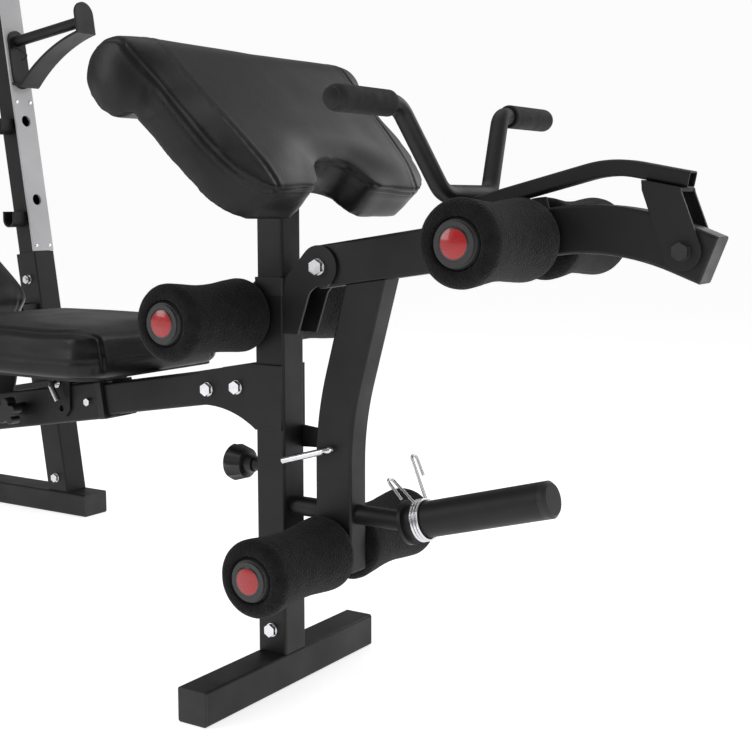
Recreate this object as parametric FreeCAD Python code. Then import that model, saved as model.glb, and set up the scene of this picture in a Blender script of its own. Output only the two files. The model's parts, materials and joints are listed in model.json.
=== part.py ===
import FreeCAD, Part
import math
import os

# Adjustable weight bench.  Millimetres, +Z up, +X towards the leg lever, +Y to the user's left.
# The origin is the point on the floor under the middle of the front post.

V = FreeCAD.Vector

# ---- driving dimensions ----
TUBE = 50.0                    # square tube of the front post, front foot and front beam
TUBE_WALL = 2.0
OUTER_TUBE = 60.0              # square tube of the main beam, brace and uprights
OUTER_WALL = 2.5
CORNER = 4.0                   # outer corner radius of the square tubes
CAP_FLANGE = 3.0               # thickness of a plastic tube cap outside the tube

FRONT_FOOT_LENGTH = 412.0
POST_TOP = 574.0
COLLAR_TOP = 599.5
STUB_HEIGHT = 70.0             # steel stub on each foot, inside the tube that stands on it

BEAM_PITCH = 9.3               # rise of the main beam towards the front, degrees
BEAM_Z0 = 451.8                # height of the beam's centre line at X = 0
MOUTH_X = -334.0               # front end of the outer beam
FRONT_BEAM_END_X = -545.0      # rear end of the front beam, inside the outer beam

UPRIGHT_LEAN = 8.5             # backward lean of the uprights, degrees
UPRIGHT_Y = 618.0
UPRIGHT_BASE_X = -1075.0       # upright's centre line at the top of its foot
UPRIGHT_LENGTH = 545.0         # along the lean, above the foot
MAST_LENGTH = 720.0            # part of the mast above the upright
MAST_OVERLAP = 180.0           # part of the mast inside the upright
SIDE_FOOT_X = (-1506.0, -986.5)
SIDE_FOOT_WIDTH = 70.0
BRACE_X = -1108.0              # centre of the rear cross brace

LEVER_PIVOT = (86.0, 616.5)    # X, Z of the leg lever's pivot
LEVER_HEIGHT = 60.0
LEVER_WIDTH = 40.0
LEVER_PITCH = 8.6
LEVER_END = (636.0, 637.6)     # X, Z of the centre of the lever's front end
LEVER_END_PITCH = -21.0
LEG_X = 106.0
LEG_BOTTOM = 187.0
LEG_TOP = (158.3, 593.8)
LEG_KNEE_Z = 401.0

ROLLER_BAR_R = 12.5
ROLLER_R = 51.0
ROLLER_WAIST_R = 45.5
ROLLER_OUTER_Y = 193.0
ROLLER_CAP_R = 31.0
ROLLER_CAP_Y = 203.0
THIGH_BAR = (-43.0, 545.0)
UPPER_BAR = (400.0, 658.5)
LOWER_BAR = (96.5, 215.0)

HORN_Z = 269.3
HORN_TUBE_R = 14.0
HORN_BEND_X = 221.6
HORN_PITCH = 15.3
SLEEVE_R = 25.0
SLEEVE_LENGTH = 208.0

CURL_HINGE = (605.0, 648.5)
CURL_ARM_WIDTH = 25.0
CURL_ARM_HEIGHT = 20.0
CURL_BAR_R = 12.0
CURL_CROSS = (305.0, 715.5)    # X, Z of the low middle run of the curl handle bar
CURL_GRIP = (283.0, 823.0)     # X, Z of the two grips
GRIP_R = 16.0
BUMPER_HEIGHT = 15.0

PAD_SLOPE = 46.5               # fall of the curl pad towards the front, degrees
PAD_ROLL = (-73.5, 866.0)      # X, Z of the centre of the roll along its upper edge
PAD_ROLL_R = 51.0
PAD_HALF_WIDTH = 254.0
PAD_LENGTH = 245.0             # from the roll's centre to the lower edge, along the slope
PAD_BASE = -4.0                # underside of the cushion, from the roll's centre, along the normal
BOARD = 12.0
CURL_POST = 45.0
CURL_POST_BOTTOM = 250.0

SEAT_X = (-603.0, -225.0)
SEAT_HALF_WIDTH = 163.0
SEAT_Z = (457.0, 516.0)
SEAT_HINGE = (-590.0, 428.0)
SEAT_PIN_X = -416.0
SEAT_PIN_Z = 419.55
SEAT_PIN_R = 5.0
LUG_IN = 34.5                  # inner face of the hinge lugs of the seat and the backrest
LUG_T = 4.0
CHEEK_IN = 30.5                # inner face of the seat bracket's cheeks
BENCH_BOLT_X = (-612.0, -652.0)

BACK_HINGE = (-645.0, 455.0)
BACK_LENGTH = 700.0
BACK_HALF_WIDTH = 145.0
BACK_THICKNESS = 57.0

BOLT_R = 5.0
BOLT_FLATS = 17.0
FIT = 0.05                     # radial running clearance of shafts and pins
GAP = 0.3                      # gap between pieces that meet but move apart

os.makedirs("parts", exist_ok=True)
made = []


def save(name, *solids):
    """Write one node, a single solid or a group of separate ones."""
    shape = solids[0] if len(solids) == 1 else Part.makeCompound(list(solids))
    shape.exportStep("parts/" + name + ".step")
    made.append(name)
    count = len(shape.Solids)
    print(f"{name:24s} solids {count:2d}  volume {shape.Volume / 1000:9.1f} cm3  valid {shape.isValid()}")


# ---- shape helpers ----
def box(x, y, z):
    """Box from three (low, high) pairs."""
    return Part.makeBox(x[1] - x[0], y[1] - y[0], z[1] - z[0], V(x[0], y[0], z[0]))


def rod(start, end, radius):
    return Part.makeCylinder(radius, (end - start).Length, start, end - start)


def ring(start, end, outer, inner):
    along = (end - start).normalize()
    return rod(start, end, outer).cut(rod(start - along, end + along, inner))


def cross_rod(x, z, half_length, radius):
    """Rod along Y, centred on the middle plane."""
    return rod(V(x, -half_length, z), V(x, half_length, z), radius)


def bar(length, width, height, radius):
    """Solid bar along +X from the origin, with its four long edges rounded."""
    solid = Part.makeBox(length, width, height, V(0, -width / 2, -height / 2))
    long_edges = [edge for edge in solid.Edges if abs(edge.tangentAt(0).x) > 0.99]
    return solid.makeFillet(radius, long_edges)


def tube(length, width, height, wall):
    hollow = bar(length + 2, width - 2 * wall, height - 2 * wall, CORNER - wall + 0.5)
    hollow.translate(V(-1, 0, 0))
    return bar(length, width, height, CORNER).cut(hollow)


def cap(width, height, wall, plug_length=18.0):
    """Plastic cap for the end of a square tube whose mouth faces +X at the origin."""
    flange = bar(CAP_FLANGE, width, height, CORNER)
    round_edges = [edge for edge in flange.Edges if edge.CenterOfMass.x > CAP_FLANGE - 0.01]
    flange = flange.makeChamfer(1.0, round_edges)
    plug = bar(plug_length, width - 2 * wall - 0.4, height - 2 * wall - 0.4, CORNER - wall + 0.3)
    plug.translate(V(-plug_length, 0, 0))
    hollow = bar(plug_length - 2, width - 2 * wall - 6, height - 2 * wall - 6, 1.0)
    hollow.translate(V(-plug_length - 0.5, 0, 0))
    return flange.fuse(plug).cut(hollow)


def place(shape, origin, pitch=0.0, yaw=0.0):
    """Tip a shape's +X axis up by pitch, turn it round +Z by yaw, and move it to origin."""
    turned = shape.copy()
    turned.rotate(V(0, 0, 0), V(0, 1, 0), -pitch)
    turned.rotate(V(0, 0, 0), V(0, 0, 1), yaw)
    turned.translate(origin)
    return turned


def mirrored(shape):
    return shape.mirror(V(0, 0, 0), V(0, 1, 0))


def direction(pitch):
    """Unit vector in the middle plane that rises from +X by pitch degrees."""
    angle = math.radians(pitch)
    return V(math.cos(angle), 0, math.sin(angle))


def rounded_path(points, radius):
    """Wire of straight runs joined by tangent arcs."""
    edges = []
    start = points[0]
    for before, corner, after in zip(points, points[1:], points[2:]):
        into = (corner - before).normalize()
        out = (after - corner).normalize()
        turn = into.getAngle(out)
        reach = radius * math.tan(turn / 2)
        middle = corner + (out - into).normalize() * (radius / math.cos(turn / 2) - radius)
        edges.append(Part.LineSegment(start, corner - into * reach).toShape())
        edges.append(Part.Arc(corner - into * reach, middle, corner + out * reach).toShape())
        start = corner + out * reach
    edges.append(Part.LineSegment(start, points[-1]).toShape())
    return Part.Wire(edges)


def bent_bar(points, bend, width, height, corner):
    """Solid rectangular bar bent in the middle plane along points (X, Z)."""
    path = rounded_path([V(x, 0, z) for x, z in points], bend)
    first = path.Edges[0].tangentAt(path.Edges[0].FirstParameter)
    pitch = math.degrees(math.atan2(first.z, first.x))
    blank = place(bar(1.0, width, height, corner), V(points[0][0], 0, points[0][1]), pitch)
    face = min(blank.Faces, key=lambda f: (f.CenterOfMass - path.Edges[0].Vertexes[0].Point).Length)
    return path.makePipeShell([face.OuterWire], True, False)


def bent_tube(points, bend, width, height, wall):
    outer = bent_bar(points, bend, width, height, CORNER)
    return outer.cut(bent_bar(points, bend, width - 2 * wall, height - 2 * wall, CORNER - wall))


def round_bar(points, bend, radius):
    """Round bar bent along 3-D points."""
    path = rounded_path(points, bend)
    profile = Part.Wire([Part.makeCircle(radius, points[0], points[1] - points[0])])
    return path.makePipeShell([profile], True, False)


def plate(outline, y_low, y_high):
    """Flat plate in an XZ plane: outline is points (X, Z), or one Wire at Y = 0."""
    if isinstance(outline, list):
        outline = Part.makePolygon([V(x, 0, z) for x, z in outline + outline[:1]])
    solid = Part.Face(outline).extrude(V(0, y_high - y_low, 0))
    solid.translate(V(0, y_low, 0))
    return solid


def plate_pair(outline, inner, thickness):
    """Two equal plates, one on each side of the middle plane."""
    one = plate(outline, -inner - thickness, -inner)
    return [one, mirrored(one)]


def hexagon(start, end, flats):
    """Hexagonal prism between two points."""
    corner_r = flats / math.sqrt(3)
    turns = [k * math.pi / 3 for k in range(7)]
    points = [V(corner_r * math.cos(turn), corner_r * math.sin(turn), 0) for turn in turns]
    solid = Part.Face(Part.makePolygon(points)).extrude(V(0, 0, (end - start).Length))
    solid.rotate(V(0, 0, 0), V(0, 0, 1), 90)
    swing = FreeCAD.Rotation(V(0, 0, 1), end - start)
    solid.Placement = FreeCAD.Placement(start, swing).multiply(solid.Placement)
    return solid


def through_bolt(start, end, radius=BOLT_R, flats=BOLT_FLATS):
    """Bolt, two washers and a nut that clamp what lies between start and end."""
    along = (end - start).normalize()
    washer = 1.6
    head = hexagon(start - along * (washer + radius * 1.2), start - along * washer, flats)
    shank = rod(start - along * washer, end + along * (washer + radius * 2.2), radius)
    bolt = head.fuse(shank)
    washers = [ring(start - along * washer, start, flats * 0.6, radius + 0.2),
               ring(end, end + along * washer, flats * 0.6, radius + 0.2)]
    nut_start = end + along * washer
    nut = hexagon(nut_start, nut_start + along * radius * 1.6, flats)
    nut = nut.cut(rod(nut_start - along, nut_start + along * radius * 3, radius + 0.01))
    return [bolt, nut] + washers


def cross_bolt(x, z, half_grip, radius=BOLT_R, flats=BOLT_FLATS):
    """Through bolt along +Y, its head on the -Y side."""
    return through_bolt(V(x, -half_grip, z), V(x, half_grip, z), radius, flats)


def beam_z(x):
    """Height of the main beam's centre line."""
    return BEAM_Z0 + x * math.tan(math.radians(BEAM_PITCH))


def beam_point(x, above=0.0, y=0.0):
    """Point on the beam's centre line at x, moved square to the beam by above."""
    return V(x, y, beam_z(x)) + direction(BEAM_PITCH + 90) * above


UP_MAST = direction(90 + UPRIGHT_LEAN)      # along the leaning uprights
OUT_MAST = direction(UPRIGHT_LEAN)          # square to them, towards the front


def mast_point(height, out=0.0, y=UPRIGHT_Y):
    """Point at a height above the floor on the upright's centre line, moved out to the front."""
    rise = (height - TUBE) / UP_MAST.z
    return V(UPRIGHT_BASE_X, y, TUBE) + UP_MAST * rise + OUT_MAST * out


fasteners = []
caps = []

# ---- front foot and post ----
foot_half = FRONT_FOOT_LENGTH / 2
foot = place(tube(FRONT_FOOT_LENGTH - 2 * CAP_FLANGE, TUBE, TUBE, TUBE_WALL),
             V(0, -foot_half + CAP_FLANGE, TUBE / 2), 0, 90)
stub = tube(STUB_HEIGHT, TUBE - 2 * TUBE_WALL - 0.6, TUBE - 2 * TUBE_WALL - 0.6, TUBE_WALL)
POST_BOLT_Z = 84.0
foot_bolt_hole = cross_rod(0, POST_BOLT_Z, TUBE, BOLT_R + 0.25)
foot = foot.fuse(place(stub, V(0, 0, TUBE - 0.5), 90)).cut(foot_bolt_hole)
save("front_foot", foot)
fasteners += cross_bolt(0, POST_BOLT_Z, TUBE / 2)
for side in (-1, 1):
    cap_at = V(0, side * (foot_half - CAP_FLANGE), TUBE / 2)
    caps.append(place(cap(TUBE, TUBE, TUBE_WALL), cap_at, 0, side * 90))

POP_PIN_Z = 322.0
POP_PIN_R = 5.0
PLATE_BOLTS = [(-110.8, 431.8), (-56.4, 438.9)]
POST_PLATE_Y = TUBE / 2
POST_PLATE_T = 4.0
post = place(tube(POST_TOP - TUBE, TUBE, TUBE, TUBE_WALL), V(0, 0, TUBE), 90)
post = post.cut(foot_bolt_hole)
nut_housing = rod(V(-47, 0, POP_PIN_Z), V(-TUBE / 2 + 1, 0, POP_PIN_Z), 9.5)
pin_bore = rod(V(-50, 0, POP_PIN_Z), V(-20, 0, POP_PIN_Z), POP_PIN_R + FIT)
post = post.fuse(nut_housing).cut(pin_bore)
save("front_post", post)

collar = place(bar(COLLAR_TOP - POST_TOP, TUBE + 1, TUBE + 1, CORNER), V(0, 0, POST_TOP), 90)
skirt_size = TUBE - 2 * TUBE_WALL - 0.3
collar_skirt = place(bar(20.0, skirt_size, skirt_size, 2.7), V(0, 0, POST_TOP - 20), 90)
collar_hole = place(bar(60.0, CURL_POST + 2 * FIT, CURL_POST + 2 * FIT, CORNER), V(0, 0, POST_TOP - 25), 90)
save("post_collar", collar.fuse(collar_skirt).cut(collar_hole))

# ---- main beam: a front length that slides into the outer length, plates to the post ----
front_length = (POST_PLATE_Y - FRONT_BEAM_END_X) / math.cos(math.radians(BEAM_PITCH))
front_beam = place(tube(front_length, TUBE, TUBE, TUBE_WALL), beam_point(FRONT_BEAM_END_X), BEAM_PITCH)
front_beam = front_beam.cut(box((-TUBE / 2, 60), (-40, 40), (300, 560)))
for bolt_x, bolt_z in PLATE_BOLTS:
    front_beam = front_beam.cut(cross_rod(bolt_x, bolt_z, 60, BOLT_R + 0.25))
PULL_PIN_X = -498.0
pull_pin_z = beam_z(PULL_PIN_X)
front_beam = front_beam.cut(rod(V(PULL_PIN_X, -60, pull_pin_z), V(PULL_PIN_X, 0, pull_pin_z), 5.6))
save("front_beam", front_beam)

arc_start = V(-126, 0, 407.5)
arc_end = V(-22.8, 0, 379.5)
side_plate = Part.Wire([
    Part.LineSegment(V(23.5, 0, 382), V(23.5, 0, 474.7)).toShape(),
    Part.LineSegment(V(23.5, 0, 474.7), V(-24, 0, 474.7)).toShape(),
    Part.LineSegment(V(-24, 0, 474.7), V(-63.5, 0, 469.6)).toShape(),
    Part.LineSegment(V(-63.5, 0, 469.6), V(-126, 0, 458)).toShape(),
    Part.LineSegment(V(-126, 0, 458), arc_start).toShape(),
    Part.Arc(arc_start, V(-68.5, 0, 402.0), arc_end).toShape(),
    Part.LineSegment(arc_end, V(23.5, 0, 382)).toShape()])
post_plates = plate_pair(side_plate, POST_PLATE_Y, POST_PLATE_T)
for index, item in enumerate(post_plates):
    for bolt_x, bolt_z in PLATE_BOLTS:
        item = item.cut(cross_rod(bolt_x, bolt_z, 60, BOLT_R + 0.25))
    post_plates[index] = item
save("post_side_plates", *post_plates)
for bolt_x, bolt_z in PLATE_BOLTS:
    fasteners += cross_bolt(bolt_x, bolt_z, POST_PLATE_Y + POST_PLATE_T)

brace_half = OUTER_TUBE / 2
main_length = (MOUTH_X - BRACE_X) / math.cos(math.radians(BEAM_PITCH)) - brace_half
main_start = beam_point(BRACE_X) + direction(BEAM_PITCH) * brace_half
main_beam = place(tube(main_length, OUTER_TUBE, OUTER_TUBE, OUTER_WALL), main_start, BEAM_PITCH)
END_PLATE = (6.0, 90.0, 110.0)
end_plate = place(bar(END_PLATE[0], END_PLATE[1], END_PLATE[2], 6.0), main_start, BEAM_PITCH)
pin_z = beam_z(PULL_PIN_X)
housing_face = OUTER_TUBE / 2 + 16
main_beam = main_beam.fuse(end_plate)
pin_housing = rod(V(PULL_PIN_X, -housing_face, pin_z), V(PULL_PIN_X, -OUTER_TUBE / 2 + 1, pin_z), 11.0)
main_beam = main_beam.fuse(pin_housing)
main_beam = main_beam.cut(rod(V(PULL_PIN_X, -60, pin_z), V(PULL_PIN_X, -20, pin_z), POP_PIN_R + FIT))
SET_SCREW_X = -352.8
SET_SCREW_Z = 393.2
END_BOLT_OFFSET = 43.0          # bolts of the end plate, above and below the beam's centre line
FLANGE_BOLT_OFFSET = 48.0
set_screw_hole = rod(V(SET_SCREW_X, -40, SET_SCREW_Z), V(SET_SCREW_X, -20, SET_SCREW_Z), 4.2)
main_beam = main_beam.cut(set_screw_hole)
for above in (-END_BOLT_OFFSET, END_BOLT_OFFSET):
    start = main_start + direction(BEAM_PITCH + 90) * above
    hole = rod(start - direction(BEAM_PITCH) * 80, start + direction(BEAM_PITCH) * 10, BOLT_R + 0.25)
    main_beam = main_beam.cut(hole)
for x in BENCH_BOLT_X:
    main_beam = main_beam.cut(cross_rod(x, beam_z(x), 60, BOLT_R + 0.25))
save("main_beam", main_beam)
screw_head = hexagon(V(SET_SCREW_X, -36, SET_SCREW_Z), V(SET_SCREW_X, -OUTER_TUBE / 2, SET_SCREW_Z), 11.0)
fasteners.append(screw_head.fuse(rod(V(SET_SCREW_X, -31, SET_SCREW_Z), V(SET_SCREW_X, -25.2, SET_SCREW_Z), 4.0)))

bush_flange = place(bar(12.0, OUTER_TUBE + 3, OUTER_TUBE + 1, CORNER), beam_point(MOUTH_X), BEAM_PITCH)
inner_size = OUTER_TUBE - 2 * OUTER_WALL - 0.3
mouth = beam_point(MOUTH_X)
beam_way = direction(BEAM_PITCH)
bush_skirt = place(bar(24.0, inner_size, inner_size, 2.0), mouth - beam_way * 24, BEAM_PITCH)
bush_hole = place(bar(60.0, TUBE + 0.1, TUBE + 0.1, CORNER - 0.1), mouth - beam_way * 30, BEAM_PITCH)
tongues = place(bar(30.0, TUBE - 6, TUBE + 8, 1.5), beam_point(MOUTH_X), BEAM_PITCH)
save("beam_mouth_bush", bush_flange.fuse([bush_skirt, tongues]).cut(bush_hole).cut(set_screw_hole))

# ---- rear frame: cross brace, side feet, uprights, masts ----
brace_centre = beam_point(BRACE_X)
flange_t = 5.0
brace_reach = UPRIGHT_Y - OUTER_TUBE / 2
brace = place(tube(2 * (brace_reach - flange_t), OUTER_TUBE, OUTER_TUBE, OUTER_WALL), V(0, 0, 0), 0, 90)
brace.translate(V(0, -(brace_reach - flange_t), 0))
flange = bar(flange_t, OUTER_TUBE - 2, 130.0, 8.0)
flanges = []
for side in (-1, 1):
    low = side * brace_reach if side < 0 else side * (brace_reach - flange_t)
    one = place(flange, V(0, low, 0), 0, 90)
    flanges.append(one)
brace = brace.fuse(flanges)
brace.rotate(V(0, 0, 0), V(0, 1, 0), -BEAM_PITCH)
brace.translate(brace_centre)
flange_bolts = [brace_centre + direction(BEAM_PITCH + 90) * above
                for above in (-FLANGE_BOLT_OFFSET, FLANGE_BOLT_OFFSET)]
for point in flange_bolts:
    brace = brace.cut(rod(V(point.x, -700, point.z), V(point.x, 700, point.z), BOLT_R + 0.25))
clamp_back = place(bar(5.0, END_PLATE[1], END_PLATE[2], 6.0),
                   brace_centre - direction(BEAM_PITCH) * (brace_half + 5.0), BEAM_PITCH)
for above in (-END_BOLT_OFFSET, END_BOLT_OFFSET):
    start = main_start + direction(BEAM_PITCH + 90) * above
    hole = rod(start - direction(BEAM_PITCH) * 80, start + direction(BEAM_PITCH) * 10, BOLT_R + 0.25)
    clamp_back = clamp_back.cut(hole)
    fasteners += through_bolt(start + direction(BEAM_PITCH) * 6.0, start - direction(BEAM_PITCH) * 65.0)
save("rear_cross_brace", brace)
save("brace_clamp_plate", clamp_back)

SIDE_BOLT_Z = 80.0
FACE_PLATE_T = 5.0
MAST = 50.0
CUP_HEIGHTS = (458.0, 664.0, 870.0)
cups = []
face_plates = []
for name, side in (("right", -1), ("left", 1)):
    y = side * UPRIGHT_Y
    length = SIDE_FOOT_X[1] - SIDE_FOOT_X[0] - 2 * CAP_FLANGE
    foot_start = V(SIDE_FOOT_X[0] + CAP_FLANGE, y, TUBE / 2)
    side_foot = place(tube(length, SIDE_FOOT_WIDTH, TUBE, OUTER_WALL), foot_start)
    inner = OUTER_TUBE - 2 * OUTER_WALL - 0.6
    stub_start = V(UPRIGHT_BASE_X, y, TUBE) - UP_MAST * 6
    side_stub = place(tube(STUB_HEIGHT, inner, inner, TUBE_WALL), stub_start, 90 + UPRIGHT_LEAN)
    side_stub = side_stub.common(box((-1300, -900), (y - 60, y + 60), (TUBE - 0.5, 200)))
    bolt_x = mast_point(SIDE_BOLT_Z).x
    bolt_hole = rod(V(bolt_x, y - 60, SIDE_BOLT_Z), V(bolt_x, y + 60, SIDE_BOLT_Z), BOLT_R + 0.25)
    save("side_foot_" + name, side_foot.fuse(side_stub).cut(bolt_hole))
    near, far = y - side * brace_half, y + side * brace_half
    fasteners += through_bolt(V(bolt_x, near, SIDE_BOLT_Z), V(bolt_x, far, SIDE_BOLT_Z))
    for end, yaw in ((SIDE_FOOT_X[1] - CAP_FLANGE, 0), (SIDE_FOOT_X[0] + CAP_FLANGE, 180)):
        caps.append(place(cap(SIDE_FOOT_WIDTH, TUBE, OUTER_WALL), V(end, y, TUBE / 2), 0, yaw))

    foot_sink = 10.0
    upright = place(tube(UPRIGHT_LENGTH + foot_sink, OUTER_TUBE, OUTER_TUBE, OUTER_WALL),
                    V(UPRIGHT_BASE_X, y, TUBE) - UP_MAST * foot_sink, 90 + UPRIGHT_LEAN)
    upright = upright.cut(box((-1300, -900), (y - 60, y + 60), (0, TUBE))).cut(bolt_hole)
    for point in flange_bolts:
        upright = upright.cut(rod(V(point.x, y - 60, point.z), V(point.x, y + 60, point.z), BOLT_R + 0.25))
        fasteners += through_bolt(V(point.x, side * (brace_reach - flange_t), point.z),
                                  V(point.x, side * (UPRIGHT_Y + brace_half), point.z))

    mast = place(tube(MAST_LENGTH + MAST_OVERLAP, MAST, MAST, TUBE_WALL),
                 V(UPRIGHT_BASE_X, y, TUBE) + UP_MAST * (UPRIGHT_LENGTH - MAST_OVERLAP), 90 + UPRIGHT_LEAN)
    mast_bolt = V(UPRIGHT_BASE_X, y, TUBE) + UP_MAST * (UPRIGHT_LENGTH - 60)
    mast_bolt_hole = rod(mast_bolt - V(0, 60, 0), mast_bolt + V(0, 60, 0), BOLT_R + 0.25)
    upright = upright.cut(mast_bolt_hole)
    mast = mast.cut(mast_bolt_hole)
    fasteners += through_bolt(mast_bolt + V(0, side * brace_half, 0), mast_bolt - V(0, side * brace_half, 0))
    mast_top = V(UPRIGHT_BASE_X, y, TUBE) + UP_MAST * (UPRIGHT_LENGTH + MAST_LENGTH)
    caps.append(place(cap(MAST, MAST, TUBE_WALL), mast_top, 90 + UPRIGHT_LEAN))
    face_plate = place(bar(MAST_LENGTH - 4, OUTER_TUBE, FACE_PLATE_T, 1.2),
                       V(UPRIGHT_BASE_X, y, TUBE) + UP_MAST * (UPRIGHT_LENGTH + 1) + OUT_MAST * (MAST / 2 + FACE_PLATE_T / 2),
                       90 + UPRIGHT_LEAN)
    for height in (704.5, 880.0, 1055.5, 1231.0):
        centre = mast_point(height, 0, y)
        hole = rod(centre, centre + OUT_MAST * 60, 12.5)
        mast = mast.cut(hole)
        face_plate = face_plate.cut(hole)
    for height in (602.0, 922.0, 1242.0):
        for across in (-19.5, 19.5):
            centre = mast_point(height, 0, y + across)
            hole = rod(centre + OUT_MAST * 20, centre + OUT_MAST * 60, 2.6)
            mast = mast.cut(hole)
            face_plate = face_plate.cut(hole)
            outside = centre + OUT_MAST * (MAST / 2 + FACE_PLATE_T)
            head = Part.makeCone(4.6, 3.0, 1.8, outside, OUT_MAST)
            fasteners.append(head.fuse(rod(outside - OUT_MAST * 8, outside + OUT_MAST, 2.5)))
    face_plates.append(face_plate)
    save("upright_" + name, upright)
    save("mast_" + name, mast)

    # open cups on the inner side of the uprights, for the bar that carries the backrest
    for height in CUP_HEIGHTS:
        inner_face = OUTER_TUBE / 2 if height < 590 else MAST / 2
        centre = mast_point(height, 0, 0)
        reach = (side * (UPRIGHT_Y - inner_face - 40), side * (UPRIGHT_Y - inner_face))
        low, high = min(reach), max(reach)
        trough = rod(V(0, low, 0), V(0, high, 0), 17.0).cut(rod(V(0, low - 1, 0), V(0, high + 1, 0), 13.0))
        trough = trough.common(box((-20, 20), (low, high), (-20, 0)))
        walls = [box((x, x + 4), (low, high), (0, 18)) for x in (-17, 13)]
        back = 3.0
        back_low = high - back if side > 0 else low
        web = box((-17, 17), (back_low, back_low + back), (-8, 18))
        cup = trough.fuse(walls + [web])
        cup.translate(centre)
        cups.append(cup)
save("mast_face_plates", *face_plates)
save("bar_cups", *cups)

SUPPORT_BAR_R = 12.5
support_centre = mast_point(CUP_HEIGHTS[2], 0, 0)
support_reach = UPRIGHT_Y - MAST / 2 - 4.0
support_bar = cross_rod(support_centre.x, support_centre.z, support_reach, SUPPORT_BAR_R)
support_bar = support_bar.cut(cross_rod(support_centre.x, support_centre.z, support_reach + 1, 10.5))
save("backrest_support_bar", support_bar)

# ---- bar catches: a round saddle, an end stop and a curved strap, hung in a mast hole ----
CATCH_HOLE_Z = 1055.5
CATCH_WIDTH = 54.0
STOP_REACH = 215.0


def slab(half, z_low, z_high, x_low, x_high, round_low):
    """Plate square to X with a fully rounded upper end, and a rounded lower end if asked."""
    z_top = z_high - half
    z_bottom = z_low + half if round_low else z_low
    edges = [Part.LineSegment(V(x_low, half, z_bottom), V(x_low, half, z_top)).toShape(),
             Part.Arc(V(x_low, half, z_top), V(x_low, 0, z_high), V(x_low, -half, z_top)).toShape(),
             Part.LineSegment(V(x_low, -half, z_top), V(x_low, -half, z_bottom)).toShape()]
    if round_low:
        low_end = Part.Arc(V(x_low, -half, z_bottom), V(x_low, 0, z_low), V(x_low, half, z_bottom))
        edges.append(low_end.toShape())
    else:
        edges.append(Part.LineSegment(V(x_low, -half, z_low), V(x_low, half, z_low)).toShape())
    return Part.Face(Part.Wire(edges)).extrude(V(x_high - x_low, 0, 0))


for name, side in (("right", -1), ("left", 1)):
    # local frame: x out of the mast's face, z up along the mast, origin at the hole
    half = CATCH_WIDTH / 2
    back = slab(half - 3, -106, 24, GAP, GAP + 5, True)
    saddle = rod(V(-26, 0, 0), V(STOP_REACH + 2, 0, 0), 12.0)
    stop = slab(half, -28, 40, STOP_REACH, STOP_REACH + 5, False)
    strap_outline = Part.Wire([
        Part.Arc(V(STOP_REACH + 5, 0, -28.5), V(112, 0, -56.5), V(29, 0, -106)).toShape(),
        Part.LineSegment(V(29, 0, -106), V(24, 0, -108)).toShape(),
        Part.LineSegment(V(24, 0, -108), V(GAP + 1, 0, -98)).toShape(),
        Part.LineSegment(V(GAP + 1, 0, -98), V(GAP + 1, 0, -92)).toShape(),
        Part.LineSegment(V(GAP + 1, 0, -92), V(23, 0, -101)).toShape(),
        Part.Arc(V(23, 0, -101), V(109, 0, -51.5), V(STOP_REACH + 5, 0, -23)).toShape(),
        Part.LineSegment(V(STOP_REACH + 5, 0, -23), V(STOP_REACH + 5, 0, -28.5)).toShape()])
    strap = plate(strap_outline, -half, half)
    clip_path = [V(3, -14, -14), V(10, -14, -14), V(46, -14, -40), V(36, -14, -46), V(26, -14, -46)]
    clip = round_bar(clip_path, 3.0, 2.0)
    catch = back.fuse([saddle, stop, strap, clip])
    face = mast_point(CATCH_HOLE_Z, MAST / 2 + FACE_PLATE_T, side * UPRIGHT_Y)
    save("bar_catch_" + name, place(catch, face, UPRIGHT_LEAN))

# ---- pivot bracket on the post ----
PIVOT_PLATE_IN = 21.0
head_r = 30.0
pivot_x, pivot_z = LEVER_PIVOT


def on_head(angle):
    turn = math.radians(angle)
    return V(pivot_x + head_r * math.cos(turn), 0, pivot_z + head_r * math.sin(turn))


pivot_outline = Part.Wire([
    Part.LineSegment(V(25, 0, 521), V(50, 0, 521)).toShape(),
    Part.LineSegment(V(50, 0, 521), V(69, 0, 577)).toShape(),
    Part.Arc(V(69, 0, 577), V(76, 0, 585), on_head(-62)).toShape(),
    Part.Arc(on_head(-62), on_head(40), on_head(138)).toShape(),
    Part.LineSegment(on_head(138), V(31, 0, 601)).toShape(),
    Part.LineSegment(V(31, 0, 601), V(25, 0, 573)).toShape(),
    Part.LineSegment(V(25, 0, 573), V(25, 0, 521)).toShape()])
PIVOT_R = 6.0
pivot_plates = [item.cut(cross_rod(pivot_x, pivot_z, 60, PIVOT_R + FIT))
                for item in plate_pair(pivot_outline, PIVOT_PLATE_IN, 4.0)]
save("pivot_bracket", *pivot_plates)
fasteners += through_bolt(V(pivot_x, -25, pivot_z), V(pivot_x, 25, pivot_z), PIVOT_R, 19.0)

LOCK_PIN_X, LOCK_PIN_Z = 107.0, 363.0
LOCK_PIN_R = 5.0
tongue = plate([(25, 352), (LOCK_PIN_X + 4, 356), (LOCK_PIN_X + 4, LOCK_PIN_Z - 6), (LOCK_PIN_X - 7, LOCK_PIN_Z - 6),
                (LOCK_PIN_X - 7, LOCK_PIN_Z + 6), (LOCK_PIN_X + 4, LOCK_PIN_Z + 6), (LOCK_PIN_X + 4, 376), (25, 384)],
               20.8, 25.0)
save("lever_lock_tongue", tongue)

# ---- thigh roller bar behind the post ----
def roller_bar(x, z, length=2 * 197.0):
    return ring(V(x, -length / 2, z), V(x, length / 2, z), ROLLER_BAR_R, ROLLER_BAR_R - 1.5)


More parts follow.
